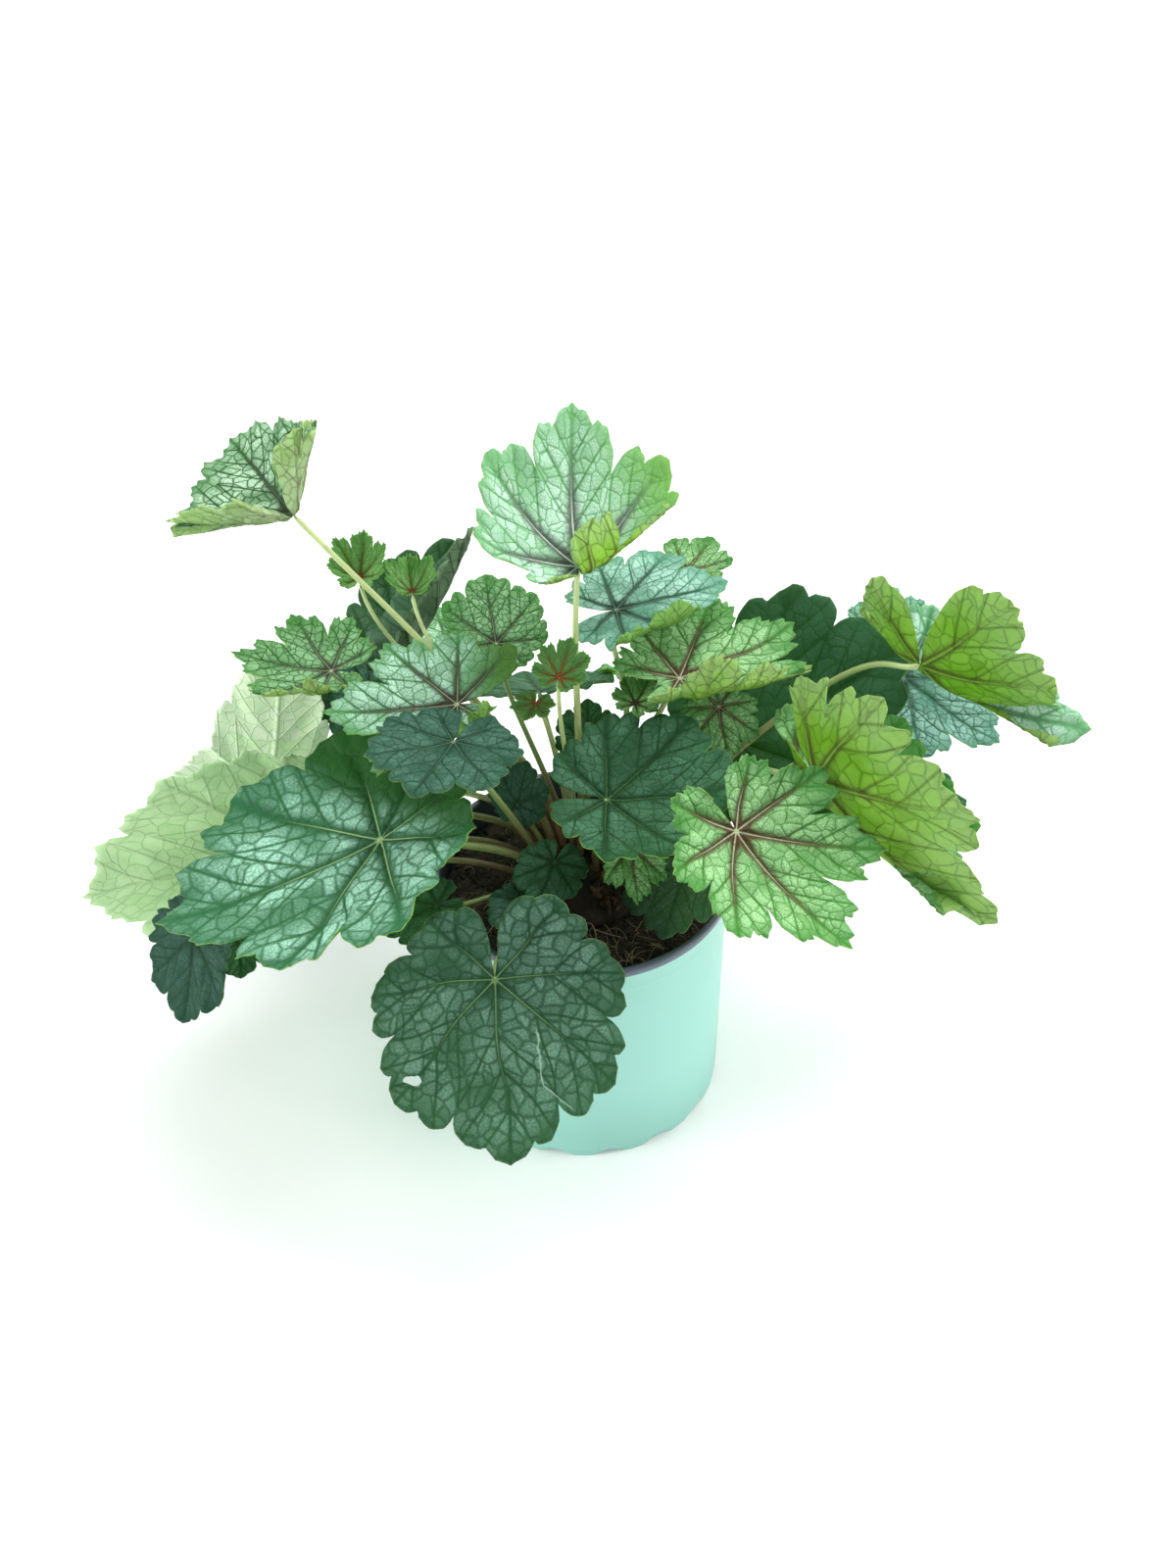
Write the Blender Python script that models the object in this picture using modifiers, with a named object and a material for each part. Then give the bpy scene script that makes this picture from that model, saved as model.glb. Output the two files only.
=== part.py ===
"""Potted coral bells: a two-tone nursery pot, its potting mix, the rootstock and the leaves above it.

Metres, +Z up. The origin is the middle of the pot's underside, where the pot stands on a surface.
A leaf is one organ: its stalk runs from the rootstock to the middle of its lobed blade.
"""

import math
from collections import namedtuple

import bmesh
import bpy
import numpy as np
from mathutils import Matrix, Vector

MM = 0.001
GAP = 0.3 * MM
MERGE = 0.01 * MM

# Pot
RIM_RADIUS = 65 * MM
FOOT_RADIUS = 61 * MM
POT_HEIGHT = 120 * MM
WALL = 1.6 * MM
LIP_WIDTH = 3.2 * MM
LIP_HEIGHT = 4.5 * MM
STEP_DROP = 14 * MM
STEP_DEPTH = 0.5 * MM
FLOOR_RISE = 3.5 * MM
FLOOR_THICKNESS = 1.8 * MM
HUB_RADIUS = 15 * MM
EDGE_ROUNDING = 0.8 * MM
FOOT_RIDGE = 2.4 * MM
FOOT_SLOPE = 1 * MM
POT_SIDES = 40
NOTCHES = 16
NOTCH_WIDTH = 9 * MM
NOTCH_HEIGHT = 2.4 * MM
NOTCH_SPLAY = 1.5
DRAIN_HOLES = 6
DRAIN_RADIUS = 4.5 * MM
DRAIN_CIRCLE = 38 * MM
DRAIN_SIDES = 10
CUTTER_LENGTH = 20 * MM

# Potting mix and rootstock
MIX_EDGE_HEIGHT = 108 * MM
MIX_MOUND = 3 * MM
MIX_CLEARANCE = 2.5 * GAP
MIX_SHOULDER = 3 * MM
MIX_DROP = 1 * MM
CROWN_RADIUS = 28 * MM
CROWN_HEIGHT = 14 * MM
CROWN_STEPS = 7

# Leaves
BLADE_THICKNESS = 0.7 * MM
STALK_POINTS = 7
STALK_FOOT_RADIUS = 1.7 * MM
STALK_TIP_RADIUS = 1.2 * MM
LOBES = 7
LOBE_EDGES = (-161, -115, -69, -23, 23, 69, 115, 161)
LOBE_LENGTHS = (0.50, 0.68, 0.87, 1.0, 0.87, 0.68, 0.50)
LOBE_STEP = 46
BASAL_NOTCH = 0.38
SINUS_CLOSING = 14
FOLD_ROUNDING = 0.05
STALK_BITE = 0.4 * MM
STALK_ALONG = 0.5
STALK_ACROSS = 0.8
STALK_PULL = 0.8
SLIMMEST_STALK = 0.62
FULL_STALK_GAIN = 150

# Notch is how deep the cuts between lobes are and pleat how far a lobe's sides rise above its vein, both
# as shares of the leaf's size. Reach is how many degrees the two basal lobes lean round to each other.
Form = namedtuple("Form", "notch roundness pleat reach spokes_per_lobe rings colour")
FORMS = {
    "round": Form(0.13, 0.5, 0.03, 11, 3, 2, (0.05, 0.14, 0.07)),
    "lapped": Form(0.15, 0.6, 0.04, 17, 3, 3, (0.09, 0.26, 0.11)),
    "even": Form(0.07, 0.5, 0.03, 0, 3, 3, (0.20, 0.42, 0.18)),
    "sharp": Form(0.22, 0.6, 0.04, 4, 3, 3, (0.12, 0.30, 0.12)),
    "jagged": Form(0.28, 0.75, 0.05, 4, 3, 3, (0.14, 0.34, 0.08)),
    "young": Form(0.25, 0.7, 0.06, 0, 2, 2, (0.16, 0.26, 0.06)),
}

# A blade is sized by the length of its middle lobe. It is placed by the point where its stalk joins it,
# in millimetres, then by the compass heading of its middle lobe, by how far that lobe dips below level,
# and by its roll about it. Cup lifts the margin all round and fold lifts the two sides of the midrib.
# A curl is (direction across the blade, start, angle, radius), the lengths as shares of the size.
# Ring is how far from the rootstock's middle the stalk's foot stands, bow pushes the middle of the stalk
# aside, both in millimetres, and lobes are the lengths of the seven lobes as shares of the size.
Leaf = namedtuple(
    "Leaf",
    "name form size at heading dip roll cup fold curls ring bow lobes",
    defaults=((0, 0, 0), LOBE_LENGTHS),
)

LEAVES = (
    # the tall ones
    Leaf("leaf_top", "sharp", 62, (-2, 50, 246), 98, -10, 10, 0.5, 0.0, ((-150, 0.06, 135, 0.05),), 5,
        (0, 0, 0), (0.42, 0.72, 0.87, 1.0, 0.87, 0.75, 0.36)),
    Leaf("leaf_upper_left", "even", 56, (-125, 90, 244), 118, 3, -32, 0.05, 0.45, ((160, 0.03, 60,
        0.12), (-160, 0.03, 50, 0.12)), 10, (0, 0, 0), (0.7, 0.68, 0.67, 1.1, 0.8, 0.9, 0.6)),
    Leaf("leaf_bud_left", "young", 18, (-98, 95, 205), 80, -30, 0, 0.5, 0.6, (), 14),
    Leaf("leaf_bud_left_low", "young", 16, (-75, 90, 201), 100, 0, 0, 0.5, 0.5, (), 12),
    Leaf("leaf_back_left_dark", "round", 66, (-83, 109, 145), 40, -45, 0, 0.1, 0.0, ((-90, 0.02, 105,
        0.06), (90, 0.05, 40, 0.1)), 22, (0, 0, 0), (0.5, 0.7, 0.9, 1.05, 0.7, 0.5, 0.4)),
    Leaf("leaf_teal", "sharp", 48, (14, 60, 215), 12, -5, 0, 0.05, 0.0, ((-75, 0.45, 130, 0.1),), 8,
        (15, 0, 0)),
    Leaf("leaf_funnel", "jagged", 56, (41, 35, 198), 27, 0, 0, 0.15, 0.0, ((-108, 0.25, 110, 0.12),),
        10, (0, 0, 0), (0.5, 0.72, 1.05, 0.95, 0.85, 0.68, 0.5)),
    Leaf("leaf_back_small", "sharp", 24, (45, 95, 209), 60, 0, 0, 0.1, 0.0, (), 14),
    # left side
    Leaf("leaf_left_curled", "jagged", 42, (-108, 48, 191), 165, 10, -5, 0.2, 0.0, ((105, 0.35, 100,
        0.12),), 24, (12, 20, -15)),
    Leaf("leaf_left_pale_high", "even", 64, (-144, 66, 100), 185, -8, 90, 0.1, 0.0, (), 20, (0, 0, 0),
        (0.4, 0.5, 0.5, 0.75, 0.6, 1.3, 0.45)),
    Leaf("leaf_left_pale_low", "even", 88, (-130, 30, 108), 205, 3, 85, 0.1, 0.0, (), 24, (0, 0, 0),
        (0.5, 0.7, 0.85, 1.05, 0.85, 0.6, 0.4)),
    Leaf("leaf_left_big", "lapped", 92, (-84, -32, 167), 243, 14, 24, 0.15, 0.05, (), 18, (0, 0, 0),
        (0.72, 0.86, 1.03, 0.8, 0.8, 0.58, 0.5)),
    Leaf("leaf_left_low", "round", 38, (-167, -28, 106), 260, 60, 35, 0.1, 0.0, (), 25),
    Leaf("leaf_left_low_behind", "round", 24, (-152, -12, 98), 280, 50, 0, 0.1, 0.0, (), 20),
    Leaf("leaf_left_silver", "jagged", 54, (-53, 20, 196), 178, 12, -18, 0.15, 0.0, ((120, 0.24, 110,
        0.05),), 12, (0, 0, 0), (0.62, 0.62, 0.78, 1.0, 0.85, 0.5, 0.45)),
    Leaf("leaf_left_shadow", "round", 36, (-95, 72, 161), 240, 80, 0, 0.1, 0.0, (), 16),
    Leaf("leaf_left_blue", "round", 44, (-53, -13, 204), 250, -5, 0, 0.1, 0.0, (), 16),
    # middle
    Leaf("leaf_back_middle", "round", 33, (-38, 70, 188), 100, -20, 0, 0.15, 0.0, (), 14),
    Leaf("leaf_heart_red", "young", 17, (-10, 18, 212), 70, -20, 0, 0.3, 0.0, (), 2),
    Leaf("leaf_heart_small", "young", 13, (-20, 22, 195), 250, 10, 0, 0.3, 0.0, (), 6),
    Leaf("leaf_heart_dark", "round", 20, (2, 25, 168), 90, -40, 0, 0.1, 0.0, (), 16),
    Leaf("leaf_heart_right", "young", 16, (22, 27, 190), 60, -10, 0, 0.2, 0.0, (), 20),
    Leaf("leaf_middle_small", "round", 20, (-28, 4, 153), 60, -60, 0, 0.1, 0.0, (), 14),
    Leaf("leaf_middle_right", "round", 55, (10, -12, 171), 0, 5, 10, 0.35, 0.0, (), 8),
    # front
    Leaf("leaf_front_hanging", "round", 71, (-36, -78, 131), -85, 62, -5, 0.3, 0.0, (), 25, (0, 0, 0),
        (0.55, 0.72, 0.87, 1.0, 0.87, 0.72, 0.6)),
    Leaf("leaf_front_small", "young", 24, (20, -27, 159), -85, 45, -30, 0.1, 0.0, (), 14),
    Leaf("leaf_front_right_dark", "round", 38, (44, -15, 141), -105, 30, 20, 0.1, 0.0, (), 22),
    Leaf("leaf_front_left_dark", "round", 26, (-62, -35, 131), 200, 20, 0, 0.1, 0.0, (), 25),
    Leaf("leaf_front_low", "round", 22, (-24, -37, 136), 265, 10, 0, 0.1, 0.0, (), 22),
    Leaf("leaf_front_inner", "round", 22, (-12, -26, 148), 250, 20, 0, 0.1, 0.0, (), 18),
    # right side
    Leaf("leaf_right_lime", "jagged", 60, (63, -38, 177), -45, 40, 5, 0.45, 0.0, (), 14, (0, 0, 0),
        (0.55, 0.68, 0.78, 1.0, 0.9, 0.7, 0.5)),
    Leaf("leaf_right_pale", "sharp", 88, (98, -5, 176), -52, 26, -84, 0.3, 0.0, ((90, 0.08, 100,
        0.08),), 20, (0, 20, 0)),
    Leaf("leaf_right_high_pale", "sharp", 74, (142, 30, 209), 37, 80, -16, 0.3, 0.0, ((25, 0.03, 110,
        0.06),), 20, (24, 35, 0), (0.76, 0.76, 1.0, 0.5, 0.45, 0.5, 0.55)),
    Leaf("leaf_right_silver", "sharp", 50, (142, 77, 163), -35, 22, 0, 0.1, 0.0, (), 22, (0, 0, -15)),
    Leaf("leaf_right_dark", "round", 84, (69, 45, 152), 8, -29, 26, 0.15, 0.0, (), 18, (0, 0, 0), (0.4,
        0.6, 0.9, 1.0, 0.85, 0.6, 0.4)),
    Leaf("leaf_right_under", "sharp", 24, (58, 35, 182), -80, 40, 0, 0.1, 0.0, (), 14),
    # back, which fills the far side of the pot
    Leaf("leaf_back_1", "round", 50, (-20, 95, 140), 100, 35, 0, 0.1, 0.0, (), 20),
    Leaf("leaf_back_2", "sharp", 52, (40, 100, 135), 65, 40, 0, 0.1, 0.0, (), 20),
    Leaf("leaf_back_3", "sharp", 44, (-60, 130, 130), 105, 10, 0, 0.1, 0.0, (), 20),
    Leaf("leaf_back_4", "sharp", 28, (141, 114, 153), 100, -30, 0, 0.1, 0.0, (), 22),
    Leaf("leaf_back_5", "round", 48, (-107, 97, 91), 155, 40, 0, 0.1, 0.0, (), 24),
    Leaf("leaf_back_6", "round", 48, (131, 50, 124), 15, 30, 0, 0.1, 0.0, (), 24),
    Leaf("leaf_back_7", "round", 34, (-70, 82, 119), 138, 45, 0, 0.1, 0.0, (), 25),
    Leaf("leaf_back_8", "round", 38, (65, 70, 124), 55, 50, 0, 0.1, 0.0, (), 25),
)


def clear_scene():
    for obj in list(bpy.data.objects):
        bpy.data.objects.remove(obj)


def new_collection(name):
    collection = bpy.data.collections.new(name)
    bpy.context.scene.collection.children.link(collection)
    return collection


def material(name, colour, roughness, metallic=0.0):
    made = bpy.data.materials.new(name)
    made.use_nodes = True
    shader = made.node_tree.nodes["Principled BSDF"]
    shader.inputs["Base Color"].default_value = (*colour, 1.0)
    shader.inputs["Roughness"].default_value = roughness
    shader.inputs["Metallic"].default_value = metallic
    return made


def mesh_object(name, bm, collection, finish=None, smooth=True):
    mesh = bpy.data.meshes.new(name)
    bm.to_mesh(mesh)
    bm.free()
    if smooth:
        mesh.shade_smooth()
    obj = bpy.data.objects.new(name, mesh)
    collection.objects.link(obj)
    if finish:
        mesh.materials.append(finish)
    return obj


def turned(name, profile, collection, finish):
    """A profile of (radius, height) points, turned about Z."""
    bm = bmesh.new()
    points = [bm.verts.new((radius, 0, height)) for radius, height in profile]
    for start, end in zip(points, points[1:]):
        bm.edges.new((start, end))
    obj = mesh_object(name, bm, collection, finish, smooth=False)
    screw = obj.modifiers.new("turn", "SCREW")
    screw.steps = screw.render_steps = POT_SIDES
    screw.use_merge_vertices = True
    screw.merge_threshold = MERGE
    return obj


def hide_cutter(obj):
    obj.hide_render = True
    obj.display_type = "WIRE"


def cut(obj, cutter):
    hide_cutter(cutter)
    boolean = obj.modifiers.new("cut", "BOOLEAN")
    boolean.operation = "DIFFERENCE"
    boolean.object = cutter


def wall_radius(height):
    """The outer radius of the pot's wall at a height."""
    return FOOT_RADIUS + (RIM_RADIUS - LIP_WIDTH + WALL - FOOT_RADIUS) * height / POT_HEIGHT


def build_pot(parts, cutters):
    step_height = POT_HEIGHT - STEP_DROP
    lip_bottom = POT_HEIGHT - LIP_HEIGHT
    floor_top = FLOOR_RISE + FLOOR_THICKNESS
    inner = RIM_RADIUS - LIP_WIDTH
    profile = (
        (0, floor_top),
        (wall_radius(floor_top) - WALL, floor_top),
        (inner - EDGE_ROUNDING, lip_bottom),
        (inner, POT_HEIGHT - EDGE_ROUNDING),
        (inner + EDGE_ROUNDING, POT_HEIGHT),
        (RIM_RADIUS - EDGE_ROUNDING, POT_HEIGHT),
        (RIM_RADIUS, POT_HEIGHT - EDGE_ROUNDING),
        (RIM_RADIUS, lip_bottom + EDGE_ROUNDING),
        (RIM_RADIUS - EDGE_ROUNDING, lip_bottom),
        (wall_radius(lip_bottom), lip_bottom - EDGE_ROUNDING / 2),
        (wall_radius(step_height), step_height),
        (wall_radius(step_height) - STEP_DEPTH, step_height - STEP_DEPTH),
        (FOOT_RADIUS, EDGE_ROUNDING),
        (FOOT_RADIUS - EDGE_ROUNDING, 0),
        (FOOT_RADIUS - FOOT_RIDGE, 0),
        (FOOT_RADIUS - FOOT_RIDGE - FOOT_SLOPE, FLOOR_RISE),
        (HUB_RADIUS + 2 * FOOT_SLOPE, FLOOR_RISE),
        (HUB_RADIUS, 0),
        (0, 0),
    )
    finish = material("mint_plastic", (0.36, 0.74, 0.63), 0.45)
    pot = turned("pot", profile, parts, finish)

    notches = bmesh.new()
    drains = bmesh.new()
    for k in range(NOTCHES):
        added = bmesh.ops.create_cube(notches, size=1)["verts"]
        bmesh.ops.scale(notches, verts=added, vec=(CUTTER_LENGTH, NOTCH_WIDTH, 2 * NOTCH_HEIGHT))
        lower = [v for v in added if v.co.z < 0]
        bmesh.ops.scale(notches, verts=lower, vec=(1, NOTCH_SPLAY, 1))
        bmesh.ops.translate(notches, verts=added, vec=(FOOT_RADIUS, 0, 0))
        turn = 2 * math.pi * (k + 0.5) / NOTCHES
        bmesh.ops.rotate(notches, verts=added, matrix=Matrix.Rotation(turn, 3, "Z"))
    for k in range(DRAIN_HOLES):
        added = bmesh.ops.create_cone(
            drains,
            cap_ends=True,
            segments=DRAIN_SIDES,
            radius1=DRAIN_RADIUS,
            radius2=DRAIN_RADIUS,
            depth=CUTTER_LENGTH,
        )["verts"]
        turn = 2 * math.pi * k / DRAIN_HOLES
        across, along = DRAIN_CIRCLE * math.cos(turn), DRAIN_CIRCLE * math.sin(turn)
        bmesh.ops.translate(drains, verts=added, vec=(across, along, 0))
    cut(pot, mesh_object("foot_notches", notches, cutters, smooth=False))
    cut(pot, mesh_object("drain_holes", drains, cutters, smooth=False))


def build_mix(parts):
    floor_top = FLOOR_RISE + FLOOR_THICKNESS + GAP
    edge = wall_radius(MIX_EDGE_HEIGHT) - WALL - MIX_CLEARANCE
    profile = (
        (0, MIX_EDGE_HEIGHT + MIX_MOUND),
        (edge * 0.5, MIX_EDGE_HEIGHT + MIX_MOUND),
        (edge * 0.8, MIX_EDGE_HEIGHT + MIX_MOUND * 0.5),
        (edge - MIX_SHOULDER, MIX_EDGE_HEIGHT),
        (edge, MIX_EDGE_HEIGHT - MIX_DROP),
        (wall_radius(floor_top) - WALL - MIX_CLEARANCE, floor_top),
        (0, floor_top),
    )
    turned("potting_mix", profile, parts, material("potting_mix", (0.05, 0.03, 0.02), 0.95))


def crown_base():
    return MIX_EDGE_HEIGHT + MIX_MOUND + GAP


def crown_point(reach, bearing, lift=0.0):
    """A point on the rootstock's dome and the dome's outward direction there."""
    share = min(reach / CROWN_RADIUS, 0.95)
    rise = math.sqrt(1 - share * share)
    out = Vector((math.cos(bearing), math.sin(bearing), 0))
    point = out * reach + Vector((0, 0, crown_base() + CROWN_HEIGHT * rise))
    normal = out * (share / CROWN_RADIUS) + Vector((0, 0, rise / CROWN_HEIGHT))
    normal.normalize()
    return point + normal * lift, normal


def build_crown(parts):
    profile = [(0, crown_base() + CROWN_HEIGHT)]
    for k in range(1, CROWN_STEPS):
        turn = math.pi / 2 * k / CROWN_STEPS
        profile.append((CROWN_RADIUS * math.sin(turn), crown_base() + CROWN_HEIGHT * math.cos(turn)))
    profile += [(CROWN_RADIUS, crown_base()), (0, crown_base())]
    turned("rootstock", profile, parts, material("rootstock", (0.12, 0.07, 0.04), 0.9))


def outline_radius(place, form, lobes):
    """The blade's outline as a share of its length; place runs 0 to 7 across its seven lobes."""
    centres = np.arange(LOBES) + 0.5
    length = np.interp(place, centres, lobes)
    within = place - np.floor(np.clip(place, 0, LOBES - 0.000001))
    swell = np.sin(np.pi * within) ** form.roundness
    end = (place < 0.5) | (place > LOBES - 0.5)
    depth = np.where(end, BASAL_NOTCH, form.notch)
    return length * (1 - depth * (1 - swell))


def outline_angle(place, share, reach):
    """The direction of a point from the stalk, in degrees; the sinus narrows towards the stalk."""
    angle = np.interp(place, np.arange(LOBES + 1), LOBE_EDGES)
    outer = np.clip(np.abs(place - LOBES / 2) - 2.5, 0, 1)
    return angle + np.sign(angle) * outer * (reach + (SINUS_CLOSING - reach) * (1 - share))


def curl(points, direction, start, angle, radius):
    """Rolls the part of the blade that lies past a line across it up and over, or under if negative."""
    way = np.array([math.cos(math.radians(direction)), math.sin(math.radians(direction)), 0])
    along = points @ way - start
    total, side = math.radians(abs(angle)), math.copysign(1, angle)
    turn = np.clip(along / radius, 0, total)
    past = np.clip(along - radius * total, 0, None)
    arm = radius - side * points[:, 2]
    rolled_along = arm * np.sin(turn) + past * np.cos(turn)
    rolled_up = side * (radius - arm * np.cos(turn) + past * np.sin(turn))
    result = points.copy()
    moved = along > 0
    result[moved] += np.outer((rolled_along - along)[moved], way)
    result[moved, 2] = rolled_up[moved]
    return result


def blade_points(leaf, place, share):
    form = FORMS[leaf.form]
    size = leaf.size * MM
    radius = share * outline_radius(place, form, leaf.lobes)
    degrees = outline_angle(place, share, form.reach)
    x = radius * np.cos(np.radians(degrees))
    y = radius * np.sin(np.radians(degrees))
    off_vein = (degrees + LOBE_STEP / 2) % LOBE_STEP - LOBE_STEP / 2
    quilt = (1 - np.cos(2 * np.pi * off_vein / LOBE_STEP)) / 2
    lift = np.sqrt(y**2 + FOLD_ROUNDING**2) - FOLD_ROUNDING
    z = leaf.cup * radius**2 + leaf.fold * lift + form.pleat * radius * quilt
    points = np.stack([x, y, z], axis=-1) * size
    for direction, start, angle, bend in leaf.curls:
        points = curl(points, direction, start * size, angle, bend * size)
    return points @ blade_axes(leaf) + np.array(leaf.at) * MM


def blade_axes(leaf):
    """The blade's own midrib, side and face directions, as rows."""
    heading, dip, roll = (math.radians(a) for a in (leaf.heading, leaf.dip, leaf.roll))
    ahead, left = math.cos(heading), math.sin(heading)
    midrib = np.array([ahead * math.cos(dip), left * math.cos(dip), -math.sin(dip)])
    level = np.array([-left, ahead, 0.0])
    face = np.cross(midrib, level)
    side = level * math.cos(roll) + face * math.sin(roll)
    return np.stack([midrib, side, np.cross(midrib, side)])


def build_blade(leaf, parts, finish):
    form = FORMS[leaf.form]
    bm = bmesh.new()
    spokes = LOBES * form.spokes_per_lobe
    bmesh.ops.create_grid(bm, x_segments=spokes, y_segments=form.rings, size=1)
    flat = np.array([v.co[:] for v in bm.verts])
    place = LOBES * (1 - flat[:, 0]) / 2
    share = (1 + flat[:, 1]) / 2
    for vert, point in zip(bm.verts, blade_points(leaf, place, share)):
        vert.co = point
    bmesh.ops.remove_doubles(bm, verts=bm.verts, dist=MERGE)
    blade = mesh_object(leaf.name, bm, parts, finish)
    solidify = blade.modifiers.new("thickness", "SOLIDIFY")
    solidify.thickness = BLADE_THICKNESS
    solidify.offset = 0
    return blade


def stalk_route(leaf):
    """Points from the rootstock to the blade: square out of the dome and up into the blade's back."""
    at = Vector(leaf.at) * MM
    bearing = math.atan2(at.y, at.x)
    foot, leave = crown_point(leaf.ring * MM, bearing, lift=0.5 * MM)
    midrib, _, face = (Vector(row) for row in blade_axes(leaf))
    arrive = (midrib * STALK_ALONG + face * STALK_ACROSS).normalized()
    end = at + arrive * STALK_BITE
    reach = (end - foot).length
    points = []
    for k in range(STALK_POINTS):
        t = k / (STALK_POINTS - 1)
        h1, h2 = 2 * t**3 - 3 * t**2 + 1, t**3 - 2 * t**2 + t
        h3, h4 = 3 * t**2 - 2 * t**3, t**3 - t**2
        bow = Vector(leaf.bow) * MM * math.sin(math.pi * t) ** 2
        points.append(foot * h1 + leave * reach * h2 + end * h3 + arrive * reach * STALK_PULL * h4 + bow)
    return points


def build_stalk(leaf, joined):
    curve = bpy.data.curves.new(leaf.name + "_stalk", "CURVE")
    curve.dimensions = "3D"
    curve.bevel_depth = STALK_FOOT_RADIUS
    curve.bevel_resolution = 1
    curve.use_fill_caps = True
    route = stalk_route(leaf)
    spline = curve.splines.new("POLY")
    spline.points.add(len(route) - 1)
    slim = min(1.0, SLIMMEST_STALK + leaf.size / FULL_STALK_GAIN)
    for k, point in enumerate(route):
        spline.points[k].co = (*point, 1)
        t = k / (len(route) - 1)
        spline.points[k].radius = slim * (1 - t + t * STALK_TIP_RADIUS / STALK_FOOT_RADIUS)
    tube = bpy.data.objects.new(leaf.name + "_stalk_tube", curve)
    joined.objects.link(tube)
    bpy.context.view_layer.update()
    solid = bpy.data.meshes.new_from_object(tube.evaluated_get(bpy.context.evaluated_depsgraph_get()))
    bm = bmesh.new()
    bm.from_mesh(solid)
    bmesh.ops.remove_doubles(bm, verts=bm.verts, dist=MERGE)
    stalk = mesh_object(leaf.name + "_stalk", bm, joined)
    stalk.matrix_world = tube.matrix_world
    bpy.data.objects.remove(tube)
    bpy.data.meshes.remove(solid)
    return stalk


def build_leaf(leaf, parts, joined, finish):
    blade = build_blade(leaf, parts, finish)
    stalk = build_stalk(leaf, joined)
    hide_cutter(stalk)
    join = blade.modifiers.new("stalk", "BOOLEAN")
    join.operation = "UNION"
    join.object = stalk


def main():
    clear_scene()
    parts = new_collection("potted_coral_bells")
    cutters = new_collection("cutters")
    build_pot(parts, cutters)
    build_mix(parts)
    build_crown(parts)
    for leaf in LEAVES:
        finish = material(leaf.name, FORMS[leaf.form].colour, 0.5)
        build_leaf(leaf, parts, cutters, finish)


main()
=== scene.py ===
"""Potted coral bells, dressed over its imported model: nursery pot, potting mix, rootstock and leaves."""

import itertools
import math
from collections import namedtuple

import bmesh
import bpy
import numpy as np
from mathutils import Matrix, Vector, noise


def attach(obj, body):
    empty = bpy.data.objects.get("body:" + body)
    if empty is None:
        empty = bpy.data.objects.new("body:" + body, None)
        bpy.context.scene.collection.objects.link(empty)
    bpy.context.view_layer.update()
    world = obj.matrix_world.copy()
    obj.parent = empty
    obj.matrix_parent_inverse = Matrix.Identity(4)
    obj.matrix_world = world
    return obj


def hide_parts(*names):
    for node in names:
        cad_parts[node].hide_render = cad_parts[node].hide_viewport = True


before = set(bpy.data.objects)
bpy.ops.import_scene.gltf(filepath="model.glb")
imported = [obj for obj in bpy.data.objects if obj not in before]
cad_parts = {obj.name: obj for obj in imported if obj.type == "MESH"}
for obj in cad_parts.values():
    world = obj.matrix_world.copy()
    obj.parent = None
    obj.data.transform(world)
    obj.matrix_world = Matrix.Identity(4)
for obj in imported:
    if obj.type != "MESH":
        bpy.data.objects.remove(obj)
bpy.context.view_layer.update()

# ---------------------------------------------------------------------------------------------------
# Studio. A bright surround, a very soft skylight from behind that shines through the upper leaves, and
# three large soft panels: overhead, right and left. The camera looks down at the plant at 42 degrees.
# ---------------------------------------------------------------------------------------------------
scene = bpy.context.scene
scene.view_settings.view_transform = "Standard"
scene.view_settings.look = "None"
scene.view_settings.exposure = 0.0

camera = bpy.data.objects.new("camera", bpy.data.cameras.new("camera"))
camera.data.lens = 63
camera.location = (0.0021, -0.8601, 0.9431)
camera.rotation_euler = (math.radians(48), 0, 0)
scene.collection.objects.link(camera)
scene.camera = camera

scene.world = bpy.data.worlds.new("surround")
scene.world.use_nodes = True
surround = scene.world.node_tree.nodes["Background"]
surround.inputs["Color"].default_value = (0.97, 0.99, 1.0, 1)
surround.inputs["Strength"].default_value = 0.55

sky = bpy.data.objects.new("skylight", bpy.data.lights.new("skylight", "SUN"))
sky.data.energy = 1.35
sky.data.angle = math.radians(50)
sky.rotation_euler = Vector((0.25, 0.45, 1.0)).to_track_quat("Z", "Y").to_euler()
scene.collection.objects.link(sky)

for name, watts, width, place, tint in (
    ("overhead", 6.0, 0.7, (0.35, 0.45, 1.2), (1.0, 1.0, 0.98)),
    ("right", 6.0, 0.6, (1.0, -0.1, 0.75), (1.0, 1.0, 1.0)),
    ("left", 7.0, 0.6, (-1.0, -0.35, 0.6), (0.98, 1.0, 1.0)),
):
    light = bpy.data.objects.new(name, bpy.data.lights.new(name, "AREA"))
    light.data.energy = watts
    light.data.size = width
    light.data.color = tint
    light.location = place
    light.rotation_euler = (Vector((0, 0, 0.15)) - Vector(place)).to_track_quat("-Z", "Y").to_euler()
    scene.collection.objects.link(light)

# ---------------------------------------------------------------------------------------------------
# Table top. A plain matt white board, larger than the view. It gives back a little light of its own, so
# that it stays pale in the shade of the leaves.
# ---------------------------------------------------------------------------------------------------


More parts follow.
